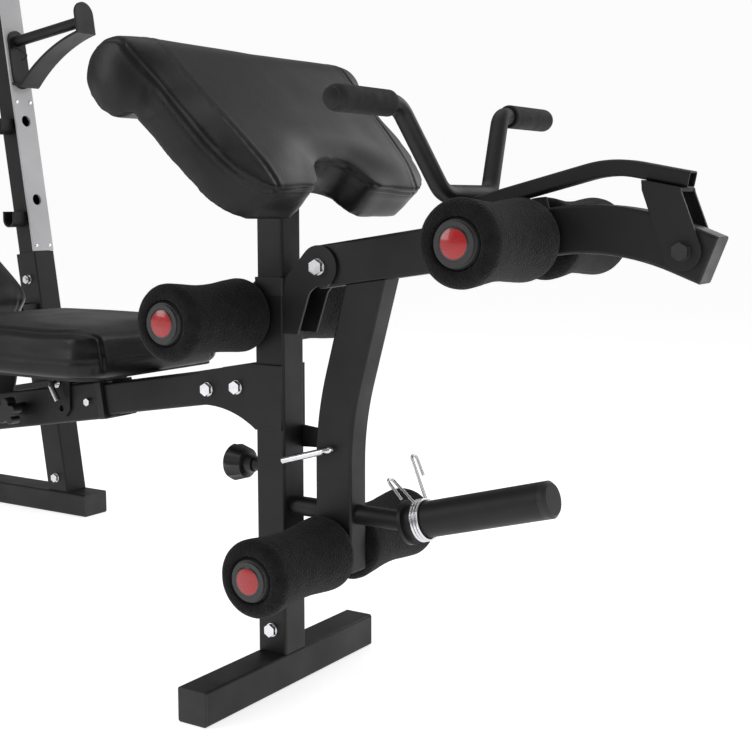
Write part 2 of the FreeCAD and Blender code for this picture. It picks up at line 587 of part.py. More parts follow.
def roller_cap(x, z, side):
    """Stepped plastic disc with a plug, on the end of a roller bar."""
    y0 = ROLLER_OUTER_Y + 0.4
    disc = Part.makeCone(ROLLER_CAP_R, ROLLER_CAP_R - 3, ROLLER_CAP_Y - y0 - 2.5, V(0, 0, 0), V(0, 0, 1))
    rim = Part.makeCylinder(ROLLER_CAP_R - 5, 2.5, V(0, 0, ROLLER_CAP_Y - y0 - 2.5))
    dish = Part.makeCylinder(15.5, 1.5, V(0, 0, ROLLER_CAP_Y - y0 - 1.5))
    badge = Part.makeSphere(40, V(0, 0, 0), V(0, 0, 1), 0, 90, 360)
    badge.translate(V(0, 0, ROLLER_CAP_Y - y0 - 40.6))
    badge = badge.common(Part.makeCylinder(14.5, 5, V(0, 0, ROLLER_CAP_Y - y0 - 3.5)))
    plug = Part.makeCylinder(ROLLER_BAR_R - 1.7, 18, V(0, 0, -18))
    socket = Part.makeCylinder(ROLLER_BAR_R + 0.1, 197.0 - y0 + 0.3, V(0, 0, -0.2))
    socket = socket.cut(Part.makeCylinder(ROLLER_BAR_R - 1.6, 20, V(0, 0, -5)))
    solid = disc.fuse(rim).cut(dish).fuse([badge, plug]).cut(socket)
    solid.rotate(V(0, 0, 0), V(1, 0, 0), -90 * side)
    solid.translate(V(x, side * y0, z))
    return solid


def foam_roller(x, z, inner, side):
    """Foam tube, thicker at both ends than in the middle, free to turn on its bar."""
    span = ROLLER_OUTER_Y - inner
    r = ROLLER_R
    bore = ROLLER_BAR_R + FIT
    edge = 12.0
    k = edge * (1 - math.sqrt(0.5))
    profile = Part.Wire([
        Part.LineSegment(V(bore, inner, 0), V(r - edge, inner, 0)).toShape(),
        Part.Arc(V(r - edge, inner, 0), V(r - k, inner + k, 0), V(r, inner + edge, 0)).toShape(),
        Part.Arc(V(r, inner + edge, 0), V(ROLLER_WAIST_R, inner + span / 2, 0), V(r, inner + span - edge, 0)).toShape(),
        Part.Arc(V(r, inner + span - edge, 0), V(r - k, inner + span - k, 0), V(r - edge, inner + span, 0)).toShape(),
        Part.LineSegment(V(r - edge, inner + span, 0), V(bore, inner + span, 0)).toShape(),
        Part.LineSegment(V(bore, inner + span, 0), V(bore, inner, 0)).toShape()])
    solid = Part.Face(profile).revolve(V(0, 0, 0), V(0, 1, 0), 360)
    if side < 0:
        solid = mirrored(solid)
    solid.translate(V(x, 0, z))
    return solid


thigh_x, thigh_z = THIGH_BAR
saddle_plate = box((thigh_x + ROLLER_BAR_R - 2.5, -25), (-22, 22), (thigh_z - 22, thigh_z + 22))
saddle_plate = saddle_plate.cut(cross_rod(thigh_x, thigh_z, 40, ROLLER_BAR_R - 1.0))
thigh_bar = roller_bar(thigh_x, thigh_z).fuse(saddle_plate)
thigh_bar = thigh_bar.cut(cross_rod(thigh_x, thigh_z, 300, ROLLER_BAR_R - 1.5))
save("thigh_roller_bar", thigh_bar)
save("thigh_roller_caps", *[roller_cap(thigh_x, thigh_z, side) for side in (-1, 1)])
ROLLER_INNER = {"thigh": 27.0, "upper": 22.5, "lower": 22.5}
for row, (x, z) in (("thigh", THIGH_BAR), ("upper", UPPER_BAR), ("lower", LOWER_BAR)):
    for name, side in (("right", -1), ("left", 1)):
        save(f"{row}_foam_roller_{name}", foam_roller(x, z, ROLLER_INNER[row], side))

# ---- leg lever ----
knee_x = (LEVER_END[1] - LEVER_PIVOT[1] + LEVER_PIVOT[0] * math.tan(math.radians(LEVER_PITCH))
          - LEVER_END[0] * math.tan(math.radians(LEVER_END_PITCH)))
knee_x /= math.tan(math.radians(LEVER_PITCH)) - math.tan(math.radians(LEVER_END_PITCH))
knee = (knee_x, LEVER_PIVOT[1] + (knee_x - LEVER_PIVOT[0]) * math.tan(math.radians(LEVER_PITCH)))
rear = (LEVER_PIVOT[0] - 6, LEVER_PIVOT[1] - 6 * math.tan(math.radians(LEVER_PITCH)))
lever_tip = (LEVER_END[0] - CAP_FLANGE * math.cos(math.radians(LEVER_END_PITCH)),
             LEVER_END[1] - CAP_FLANGE * math.sin(math.radians(LEVER_END_PITCH)))
lever_beam = bent_tube([rear, knee, lever_tip], 330.0, LEVER_WIDTH, LEVER_HEIGHT, TUBE_WALL)
knuckle = cross_rod(pivot_x, pivot_z, LEVER_WIDTH / 2 + 0.7, 27.0)
lever_beam = lever_beam.fuse(knuckle).cut(cross_rod(pivot_x, pivot_z, 60, PIVOT_R + FIT))
lever_beam = lever_beam.cut(cross_rod(UPPER_BAR[0], UPPER_BAR[1], 60, ROLLER_BAR_R))
lever_beam = lever_beam.cut(cross_rod(CURL_HINGE[0], CURL_HINGE[1], 60, PIVOT_R + FIT))
save("lever_beam", lever_beam)

top = direction(90 - 15.1)
leg_top = (LEG_TOP[0] + 25 * top.x, LEG_TOP[1] + 25 * top.z)
leg_path = [(LEG_X, LEG_BOTTOM + CAP_FLANGE), (LEG_X, LEG_KNEE_Z), leg_top]
leg_blank = bent_tube(leg_path, 470.0, LEVER_WIDTH, LEVER_HEIGHT, TUBE_WALL)
beam_blank = bent_bar([rear, knee, lever_tip], 330.0, LEVER_WIDTH + 2, LEVER_HEIGHT, 0.5)
lever_leg = leg_blank.cut(beam_blank)
lever_leg = max(lever_leg.Solids, key=lambda s: s.Volume)
lever_leg = lever_leg.cut(cross_rod(LOWER_BAR[0], LOWER_BAR[1], 60, ROLLER_BAR_R))
lever_leg = lever_leg.cut(cross_rod(LOCK_PIN_X, LOCK_PIN_Z, 60, LOCK_PIN_R + FIT))
lever_leg = lever_leg.cut(rod(V(0, 0, HORN_Z), V(200, 0, HORN_Z), HORN_TUBE_R))
save("lever_leg", lever_leg)
save("lever_roller_bars", roller_bar(*UPPER_BAR), roller_bar(*LOWER_BAR))
lever_roller_caps = [roller_cap(x, z, side) for x, z in (UPPER_BAR, LOWER_BAR) for side in (-1, 1)]
save("lever_roller_caps", *lever_roller_caps)

# ---- weight horn ----
horn_start = V(TUBE / 2 + 4.3, 0, HORN_Z)
horn_bend = V(HORN_BEND_X, 0, HORN_Z)
horn_axis = direction(HORN_PITCH)
horn_points = [horn_start, horn_bend, horn_bend + horn_axis * 60]
horn_tube = round_bar(horn_points, 40.0, HORN_TUBE_R).cut(round_bar(horn_points, 40.0, HORN_TUBE_R - 2.0))
save("weight_horn_tube", horn_tube)
sleeve_start = horn_bend + horn_axis * 2
sleeve = ring(sleeve_start, sleeve_start + horn_axis * SLEEVE_LENGTH, SLEEVE_R, SLEEVE_R - 2.5)
flange = ring(sleeve_start - horn_axis * 5, sleeve_start + horn_axis * 1, 31.0, HORN_TUBE_R + 1.2)
inner_ring = ring(sleeve_start + horn_axis * 30, sleeve_start + horn_axis * 40, SLEEVE_R - 2.0, HORN_TUBE_R + 0.2)
save("weight_sleeve", sleeve.fuse([flange, inner_ring]))
sleeve_end = sleeve_start + horn_axis * SLEEVE_LENGTH
sleeve_cap = rod(sleeve_end, sleeve_end + horn_axis * 8, SLEEVE_R)
sleeve_cap = sleeve_cap.fuse(Part.makeCone(SLEEVE_R, SLEEVE_R - 4, 4, sleeve_end + horn_axis * 8, horn_axis))
sleeve_cap = sleeve_cap.fuse(rod(sleeve_end - horn_axis * 20, sleeve_end, SLEEVE_R - 2.7))
stop_cap = rod(V(TUBE / 2 + GAP, 0, HORN_Z), horn_start, HORN_TUBE_R)
stop_cap = stop_cap.fuse(rod(horn_start, horn_start + V(12, 0, 0), HORN_TUBE_R - 2.2))
beam_cap = place(cap(LEVER_WIDTH, LEVER_HEIGHT, TUBE_WALL), V(lever_tip[0], 0, lever_tip[1]), LEVER_END_PITCH)
leg_cap = place(cap(LEVER_WIDTH, LEVER_HEIGHT, TUBE_WALL, 11.0), V(LEG_X, 0, LEG_BOTTOM + CAP_FLANGE), -90)
save("lever_end_caps", beam_cap, leg_cap, sleeve_cap, stop_cap)

# spring collar: coils round the sleeve and two bent handles
COLLAR_WIRE_R = 2.2
collar_r = SLEEVE_R + COLLAR_WIRE_R + 0.3
coils = []
for index in range(3):
    centre = sleeve_start + horn_axis * (16 + index * 2 * (COLLAR_WIRE_R + 0.15))
    coils.append(Part.makeTorus(collar_r, COLLAR_WIRE_R, centre, horn_axis))
square_up = direction(HORN_PITCH + 90)
handles = []
for start_out, lean, rise, y in ((16.0, -26.0, 38.0, -9.0), (25.0, -8.0, 62.0, 9.0)):
    base = sleeve_start + horn_axis * start_out + V(0, y, 0) + square_up * (collar_r - 1.2)
    tip = base + square_up * rise + horn_axis * lean
    side_step = V(0, 12 if y > 0 else -12, 0)
    loop_end = base + side_step + square_up * (rise - 30) + horn_axis * lean * 0.4
    handles.append(round_bar([base, tip, tip + side_step, loop_end], 5.0, COLLAR_WIRE_R))
spacer_out = square_up * collar_r
spacers = rod(coils[0].CenterOfMass + spacer_out, coils[-1].CenterOfMass + spacer_out, COLLAR_WIRE_R * 0.9)
spring_collar = coils[0].fuse(coils[1:] + handles + [spacers])
save("spring_collar", spring_collar)

# ---- curl bar: arm, clevis, handle bar and grips ----
arm_points = [(CURL_CROSS[0] - 2, CURL_CROSS[1] - CURL_BAR_R - 6), (508.8, 750.3), (606.3, 731.9)]
arm = bent_tube(arm_points, 150.0, CURL_ARM_WIDTH, CURL_ARM_HEIGHT, TUBE_WALL)
arm = arm.cut(cross_rod(CURL_CROSS[0], CURL_CROSS[1], 60, CURL_BAR_R))
hinge_x, hinge_z = CURL_HINGE
CLEVIS_IN = 21.5
round_r = 23.0


def on_clevis(angle):
    turn = math.radians(angle)
    return V(hinge_x + round_r * math.cos(turn), 0, hinge_z + round_r * math.sin(turn))


clevis_outline = Part.Wire([
    Part.LineSegment(V(553, 0, 731.5), V(553.8, 0, 720)).toShape(),
    Part.LineSegment(V(553.8, 0, 720), on_clevis(205)).toShape(),
    Part.Arc(on_clevis(205), on_clevis(295), on_clevis(25)).toShape(),
    Part.LineSegment(on_clevis(25), V(602, 0, 718)).toShape(),
    Part.LineSegment(V(602, 0, 718), V(601, 0, 722.6)).toShape(),
    Part.LineSegment(V(601, 0, 722.6), V(553, 0, 731.5)).toShape()])
clevis = plate_pair(clevis_outline, CLEVIS_IN, 4.0)
web_outline = [(553, 731.7), (553, 727.2), (601, 718.2), (601, 722.7)]
web = plate(web_outline, -CLEVIS_IN - 4, CLEVIS_IN + 4)
clevis = clevis[0].fuse([clevis[1], web]).cut(cross_rod(hinge_x, hinge_z, 60, PIVOT_R + 0.2))
save("curl_bar_arm", arm.fuse(clevis))
save("curl_bar_bolt", *through_bolt(V(hinge_x, -25.6, hinge_z), V(hinge_x, 25.6, hinge_z), PIVOT_R, 19.0))

cross_x, cross_z = CURL_CROSS
grip_x, grip_z = CURL_GRIP
LOW_BEND_Y = 62.0
HIGH_BEND_Y = 134.0
GRIP_END_Y = 281.0
handle_points = [V(grip_x, -GRIP_END_Y + 4, grip_z), V(grip_x, -HIGH_BEND_Y, grip_z), V(cross_x, -LOW_BEND_Y, cross_z),
                 V(cross_x, LOW_BEND_Y, cross_z), V(grip_x, HIGH_BEND_Y, grip_z), V(grip_x, GRIP_END_Y - 4, grip_z)]
save("curl_handle_bar", round_bar(handle_points, 30.0, CURL_BAR_R))
grips = []
for side in (-1, 1):
    start = V(grip_x, side * (HIGH_BEND_Y + 22), grip_z)
    end = V(grip_x, side * GRIP_END_Y, grip_z)
    grip = rod(start, end, GRIP_R)
    grip = grip.makeFillet(11.0, [edge for edge in grip.Edges if abs(abs(edge.CenterOfMass.y) - GRIP_END_Y) < 0.1])
    inner_end = V(grip_x, side * (GRIP_END_Y - 4), grip_z)
    grips.append(grip.cut(rod(start - V(0, side, 0), inner_end, CURL_BAR_R)))
save("curl_grips", *grips)

# rubber bumper on the lever, under the curl bar's arm
BUMPER_X = 415.0
bumper_foot = V(BUMPER_X, 0, pivot_z + (BUMPER_X - pivot_x) * math.tan(math.radians(LEVER_PITCH)))
bumper_up = direction(LEVER_PITCH + 90)
bumper_foot = bumper_foot + bumper_up * (LEVER_HEIGHT / 2)
bumper = Part.makeCone(12.0, 10.0, BUMPER_HEIGHT, bumper_foot, bumper_up)
save("curl_bar_bumper", bumper)

# ---- curl pad on its telescoping post ----
pad_origin = V(PAD_ROLL[0], 0, PAD_ROLL[1])


def on_pad(shape):
    """Place a shape made with x down the slope and z square to the pad."""
    return place(shape, pad_origin, -PAD_SLOPE)


def pad_outline(grow, z, top):
    """Pad outline in its plane, from the roll down to the notched lower edge."""
    half = PAD_HALF_WIDTH + grow
    low_half = 238.0 + grow
    end = PAD_LENGTH + grow
    corner = 62.0
    notch = [V(end - 4, -88 + grow, z), V(205, -48 + grow, z), V(188, 0, z),
             V(205, 48 - grow, z), V(end - 4, 88 - grow, z)]
    spline = Part.BSplineCurve()
    spline.interpolate(notch, InitialTangent=V(0, 1, 0), FinalTangent=V(0, 1, 0))
    k = corner * (1 - math.sqrt(0.5))
    corner_start = V(end - corner, -low_half + 6, z)
    corner_middle = V(end - k, -low_half + 12 + k, z)
    corner_end = V(end, -low_half + 12 + corner, z)
    right = [
        Part.LineSegment(V(top, -half, z), V(end - corner - 20, -low_half, z)).toShape(),
        Part.LineSegment(V(end - corner - 20, -low_half, z), corner_start).toShape(),
        Part.Arc(corner_start, corner_middle, corner_end).toShape(),
        Part.LineSegment(corner_end, V(end, -130, z)).toShape(),
        Part.LineSegment(V(end, -130, z), notch[0]).toShape()]
    left = []
    for edge in reversed(right):
        left.append(edge.mirror(V(0, 0, 0), V(0, 1, 0)))
    edges = [Part.LineSegment(V(top, half, z), V(top, -half, z)).toShape()] + right + [spline.toShape()] + left
    return Part.Face(Part.Wire(Part.__sortEdges__(edges)))


cushion = pad_outline(0, PAD_BASE, 0).extrude(V(0, 0, PAD_ROLL_R - PAD_BASE))
roll = rod(V(0, -PAD_HALF_WIDTH, 0), V(0, PAD_HALF_WIDTH, 0), PAD_ROLL_R)
cushion = cushion.fuse(roll)
save("curl_pad", on_pad(cushion))
board = pad_outline(-14, PAD_BASE - BOARD, 62).extrude(V(0, 0, BOARD))
board_face = PAD_BASE - BOARD
save("curl_pad_board", on_pad(board))

post_tube = place(tube(640.0, CURL_POST, CURL_POST, 1.5), V(0, 0, CURL_POST_BOTTOM), 90)
above_board = on_pad(box((-400, 500), (-300, 300), (board_face - 4, 400)))
post_tube = post_tube.cut(above_board)
mount_plate = on_pad(box((56, 160), (-60, 60), (board_face - 4, board_face)))
post_tube = post_tube.fuse(mount_plate)
for step in range(5):
    hole_z = POP_PIN_Z - step * 30
    post_tube = post_tube.cut(rod(V(-40, 0, hole_z), V(-15, 0, hole_z), POP_PIN_R + 0.6))
save("curl_pad_post", post_tube)

# ---- seat: pad, board, bracket that straddles the beam, pin ----
seat_x, seat_z = SEAT_HINGE
seat_pad = box(SEAT_X, (-SEAT_HALF_WIDTH, SEAT_HALF_WIDTH), SEAT_Z)
seat_pad = seat_pad.makeFillet(42.0, [edge for edge in seat_pad.Edges if abs(edge.tangentAt(0).z) > 0.99])
seat_pad = seat_pad.makeFillet(14.0, [edge for edge in seat_pad.Edges if edge.CenterOfMass.z > SEAT_Z[1] - 0.1])
save("seat_pad", seat_pad)

under = SEAT_Z[0] - BOARD
inset = 14.0
seat_board = box((SEAT_X[0] + inset, SEAT_X[1] - inset), (-SEAT_HALF_WIDTH + inset, SEAT_HALF_WIDTH - inset),
                 (under, SEAT_Z[0]))
seat_board = seat_board.makeFillet(30.0, [edge for edge in seat_board.Edges if abs(edge.tangentAt(0).z) > 0.99])
save("seat_board", seat_board)

seat_plate = box((seat_x + 20, SEAT_X[1] - 40), (-62, 62), (under - 4, under))
lug_outline = Part.Wire([
    Part.LineSegment(V(seat_x + 60, 0, under), V(seat_x - 2, 0, under)).toShape(),
    Part.LineSegment(V(seat_x - 2, 0, under), V(seat_x - 12, 0, seat_z)).toShape(),
    Part.Arc(V(seat_x - 12, 0, seat_z), V(seat_x, 0, seat_z - 12), V(seat_x + 12, 0, seat_z)).toShape(),
    Part.LineSegment(V(seat_x + 12, 0, seat_z), V(seat_x + 60, 0, under - 6)).toShape(),
    Part.LineSegment(V(seat_x + 60, 0, under - 6), V(seat_x + 60, 0, under)).toShape()])
hinge_bore = cross_rod(seat_x, seat_z, 80, BOLT_R + FIT)
lugs = [item.cut(hinge_bore) for item in plate_pair(lug_outline, LUG_IN, LUG_T)]
cheek = [(SEAT_PIN_X - 20, under), (SEAT_PIN_X - 20, 378), (SEAT_PIN_X - 10, 366), (SEAT_PIN_X + 16, 366),
         (SEAT_PIN_X + 26, 378), (SEAT_PIN_X + 26, under)]
cheeks = plate_pair(cheek, CHEEK_IN, 4.0)
seat_frame = seat_plate.fuse(lugs + cheeks)
for hole_x, hole_z in ((SEAT_PIN_X, SEAT_PIN_Z), (SEAT_PIN_X + 8, 379.0)):
    seat_frame = seat_frame.cut(cross_rod(hole_x, hole_z, 80, SEAT_PIN_R + FIT))
save("seat_frame", seat_frame)
fasteners += cross_bolt(seat_x, seat_z, LUG_IN + LUG_T + 0.4)
pin_points = [V(SEAT_PIN_X, 44, SEAT_PIN_Z), V(SEAT_PIN_X, -50, SEAT_PIN_Z), V(SEAT_PIN_X + 16, -50, SEAT_PIN_Z - 26)]
seat_pin = round_bar(pin_points, 9.0, SEAT_PIN_R)
shoulder = ring(V(SEAT_PIN_X, -37.5, SEAT_PIN_Z), V(SEAT_PIN_X, -34.9, SEAT_PIN_Z), SEAT_PIN_R + 3, SEAT_PIN_R - 1)
save("seat_pin", seat_pin.fuse(shoulder))

# ---- bracket on the beam that carries the seat hinge and the backrest hinge ----
back_x, back_z = BACK_HINGE
eye = 12.0


def around(x, z, angle):
    return V(x + eye * math.cos(math.radians(angle)), 0, z + eye * math.sin(math.radians(angle)))


bench_points = [around(seat_x, seat_z, 120), V(-603, 0, 434), V(-626, 0, 440), around(back_x, back_z, 15)]
bench_low = [around(back_x, back_z, 190), V(-668, 0, 345), V(-664, 0, 322), V(-606, 0, 331), around(seat_x, seat_z, -20)]
bench_edges = [Part.LineSegment(a, b).toShape() for a, b in zip(bench_points, bench_points[1:])]
bench_edges.append(Part.Arc(around(back_x, back_z, 15), around(back_x, back_z, 100), around(back_x, back_z, 190)).toShape())
bench_edges += [Part.LineSegment(a, b).toShape() for a, b in zip(bench_low, bench_low[1:])]
bench_edges.append(Part.Arc(around(seat_x, seat_z, -20), around(seat_x, seat_z, 50), around(seat_x, seat_z, 120)).toShape())
bench_plates = plate_pair(Part.Wire(bench_edges), OUTER_TUBE / 2, 4.0)
bench_holes = [cross_rod(x, beam_z(x), 60, BOLT_R + 0.25) for x in BENCH_BOLT_X]
bench_holes += [cross_rod(seat_x, seat_z, 60, BOLT_R), cross_rod(back_x, back_z, 60, BOLT_R)]
save("bench_hinge_bracket", *[item.cut(Part.makeCompound(bench_holes)) for item in bench_plates])
for x in BENCH_BOLT_X:
    fasteners += cross_bolt(x, beam_z(x), OUTER_TUBE / 2 + 4.0)
fasteners += cross_bolt(back_x, back_z, LUG_IN + LUG_T + 0.4)

# ---- backrest: built level with its hinge at the origin, +X to the rear, then laid back ----
PAD_START = 43.7
PAD_UNDER = 2.8
RAIL = (20.0, 30.0)
rail_under = PAD_UNDER - BOARD - RAIL[1]
to_bar = support_centre - V(back_x, 0, back_z)
# the backrest lies back until its rails meet the support bar
BACK_PITCH = math.degrees(math.atan2(to_bar.z, -to_bar.x)
                          + math.asin((SUPPORT_BAR_R + GAP - rail_under) / to_bar.Length))


def on_back(shape):
    return place(shape, V(back_x, 0, back_z), BACK_PITCH, 180)


back_x_span = (PAD_START, PAD_START + BACK_LENGTH)
back_pad = box(back_x_span, (-BACK_HALF_WIDTH, BACK_HALF_WIDTH), (PAD_UNDER, PAD_UNDER + BACK_THICKNESS))
back_pad = back_pad.makeFillet(42.0, [edge for edge in back_pad.Edges if abs(edge.tangentAt(0).z) > 0.99])
top_face = PAD_UNDER + BACK_THICKNESS
back_pad = back_pad.makeFillet(14.0, [edge for edge in back_pad.Edges if edge.CenterOfMass.z > top_face - 0.1])
save("backrest_pad", on_back(back_pad))
board_low = PAD_UNDER - BOARD
back_board = box((back_x_span[0] + inset, back_x_span[1] - inset), (-BACK_HALF_WIDTH + inset, BACK_HALF_WIDTH - inset),
                 (board_low, PAD_UNDER))
back_board = back_board.makeFillet(30.0, [edge for edge in back_board.Edges if abs(edge.tangentAt(0).z) > 0.99])
save("backrest_board", on_back(back_board))

rail_y = LUG_IN + LUG_T
rails = []
for side in (-1, 1):
    rail = tube(650.0, RAIL[0], RAIL[1], 1.5)
    rail.translate(V(50.0, side * (rail_y + RAIL[0] / 2), board_low - RAIL[1] / 2))
    rails.append(rail)
back_lug = Part.Wire([
    Part.LineSegment(V(-11, 0, 5), V(50, 0, board_low)).toShape(),
    Part.LineSegment(V(50, 0, board_low), V(130, 0, board_low)).toShape(),
    Part.LineSegment(V(130, 0, board_low), V(130, 0, board_low - RAIL[1] + 2)).toShape(),
    Part.LineSegment(V(130, 0, board_low - RAIL[1] + 2), V(60, 0, board_low - RAIL[1] + 2)).toShape(),
    Part.LineSegment(V(60, 0, board_low - RAIL[1] + 2), V(0, 0, -12)).toShape(),
    Part.Arc(V(0, 0, -12), V(-11.4, 0, -3.6), V(-11, 0, 5)).toShape()])
back_lugs = [item.cut(cross_rod(0, 0, 80, BOLT_R + FIT)) for item in plate_pair(back_lug, LUG_IN, LUG_T)]
straps = []
for x in (140.0, 560.0):
    straps.append(box((x, x + 40), (-rail_y - 1, rail_y + 1), (board_low - 3, board_low)))
back_frame = rails[0].fuse([rails[1]] + back_lugs + straps)
save("backrest_frame", on_back(back_frame))
rail_caps = []
for side in (-1, 1):
    one = cap(RAIL[0], RAIL[1], 1.5)
    one.translate(V(700.0, side * (rail_y + RAIL[0] / 2), board_low - RAIL[1] / 2))
    rail_caps.append(on_back(one))
save("backrest_rail_caps", *rail_caps)

# ---- pins and knobs ----
POP_HUB_X = -47.4               # face of the knob's hub, just clear of the post's weld nut
pop_profile = Part.Wire([
    Part.LineSegment(V(POP_HUB_X, 0, 0), V(POP_HUB_X, 12.0, 0)).toShape(),
    Part.LineSegment(V(POP_HUB_X, 12.0, 0), V(-57, 14.5, 0)).toShape(),
    Part.LineSegment(V(-57, 14.5, 0), V(-59.5, 22.0, 0)).toShape(),
    Part.LineSegment(V(-59.5, 22.0, 0), V(-80, 28.0, 0)).toShape(),
    Part.Arc(V(-80, 28.0, 0), V(-88.5, 24.0, 0), V(-92, 14.0, 0)).toShape(),
    Part.LineSegment(V(-92, 14.0, 0), V(-92, 0, 0)).toShape(),
    Part.LineSegment(V(-92, 0, 0), V(POP_HUB_X, 0, 0)).toShape()])
pop_knob = Part.Face(pop_profile).revolve(V(0, 0, 0), V(1, 0, 0), 360)
FLUTES = 9
FLUTE_R = 16.0
for step in range(FLUTES):
    angle = 2 * math.pi * step / FLUTES
    offset = V(0, math.cos(angle), math.sin(angle))
    pop_knob = pop_knob.cut(rod(V(-57.5, 0, 0) + offset * 35.0, V(-100, 0, 0) + offset * 44.5, FLUTE_R))
pin_tip = -CURL_POST / 2 - GAP
pop_pin = rod(V(-50, 0, 0), V(pin_tip, 0, 0), POP_PIN_R).fuse(pop_knob)
pop_pin.translate(V(0, 0, POP_PIN_Z))
save("post_pop_pin", pop_pin)

knob_y = -housing_face - 0.4
star = rod(V(0, knob_y - 8, 0), V(0, knob_y - 26, 0), 15.0)
lobes = []
for step in range(5):
    angle = math.radians(90 + step * 72)
    offset = V(math.cos(angle), 0, math.sin(angle)) * 15.5
    lobes.append(rod(V(0, knob_y - 8, 0) + offset, V(0, knob_y - 26, 0) + offset, 7.0))
star = star.fuse(lobes).removeSplitter()
star = star.makeFillet(2.0, [edge for edge in star.Edges if abs(edge.CenterOfMass.y - (knob_y - 26)) < 0.1])
hub = Part.makeCone(10.5, 13.0, 9.0, V(0, knob_y, 0), V(0, -1, 0))
pull_pin = rod(V(0, knob_y - 2, 0), V(0, -21, 0), POP_PIN_R)
pull_pin = pull_pin.fuse(Part.makeCone(POP_PIN_R, 3, 3, V(0, -21, 0), V(0, 1, 0)))
pull_pin = pull_pin.fuse([star, hub])
pull_pin.translate(V(PULL_PIN_X, 0, pin_z))
save("beam_pull_pin", pull_pin)

lock_points = [V(29, -33, 340.5), V(LOCK_PIN_X, -33, LOCK_PIN_Z), V(LOCK_PIN_X, 32, LOCK_PIN_Z)]
lock_pin = round_bar(lock_points, 9.0, LOCK_PIN_R)
save("lever_lock_pin", lock_pin)

save("tube_end_caps", *caps)
save("frame_bolts", *fasteners)
print(len(made), "nodes")
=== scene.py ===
import json
import math

import bmesh
import bpy
import numpy as np
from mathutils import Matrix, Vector, kdtree, noise
from mathutils.bvhtree import BVHTree


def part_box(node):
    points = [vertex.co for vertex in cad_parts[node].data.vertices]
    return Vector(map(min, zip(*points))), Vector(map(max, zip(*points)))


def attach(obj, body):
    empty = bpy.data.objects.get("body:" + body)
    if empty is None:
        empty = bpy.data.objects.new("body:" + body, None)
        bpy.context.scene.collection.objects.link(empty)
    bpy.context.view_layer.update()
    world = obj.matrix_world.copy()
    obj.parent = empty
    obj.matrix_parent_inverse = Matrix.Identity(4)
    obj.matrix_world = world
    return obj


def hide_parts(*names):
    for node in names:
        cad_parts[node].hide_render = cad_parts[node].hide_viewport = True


# Looks of the adjustable weight bench. Metres, same axes as the CAD frame.

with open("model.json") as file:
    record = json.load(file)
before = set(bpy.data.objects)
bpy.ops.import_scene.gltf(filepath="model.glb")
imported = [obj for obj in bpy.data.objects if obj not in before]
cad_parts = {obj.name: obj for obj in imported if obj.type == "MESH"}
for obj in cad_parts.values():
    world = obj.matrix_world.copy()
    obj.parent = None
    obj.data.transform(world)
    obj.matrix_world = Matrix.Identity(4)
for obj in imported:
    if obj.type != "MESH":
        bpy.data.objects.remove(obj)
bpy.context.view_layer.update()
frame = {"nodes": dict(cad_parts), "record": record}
scene = bpy.context.scene
nodes = frame["nodes"]

MM = 0.001
BADGE_R = 20.5 * MM             # red disc on each roller cap
BADGE_DOME = 88 * MM            # radius that its face is domed to
BADGE_PROUD = 2.3 * MM          # how far its middle stands out past the cap
BADGE_BACK = 0.4 * MM           # how far the point that closes it lies behind its rim


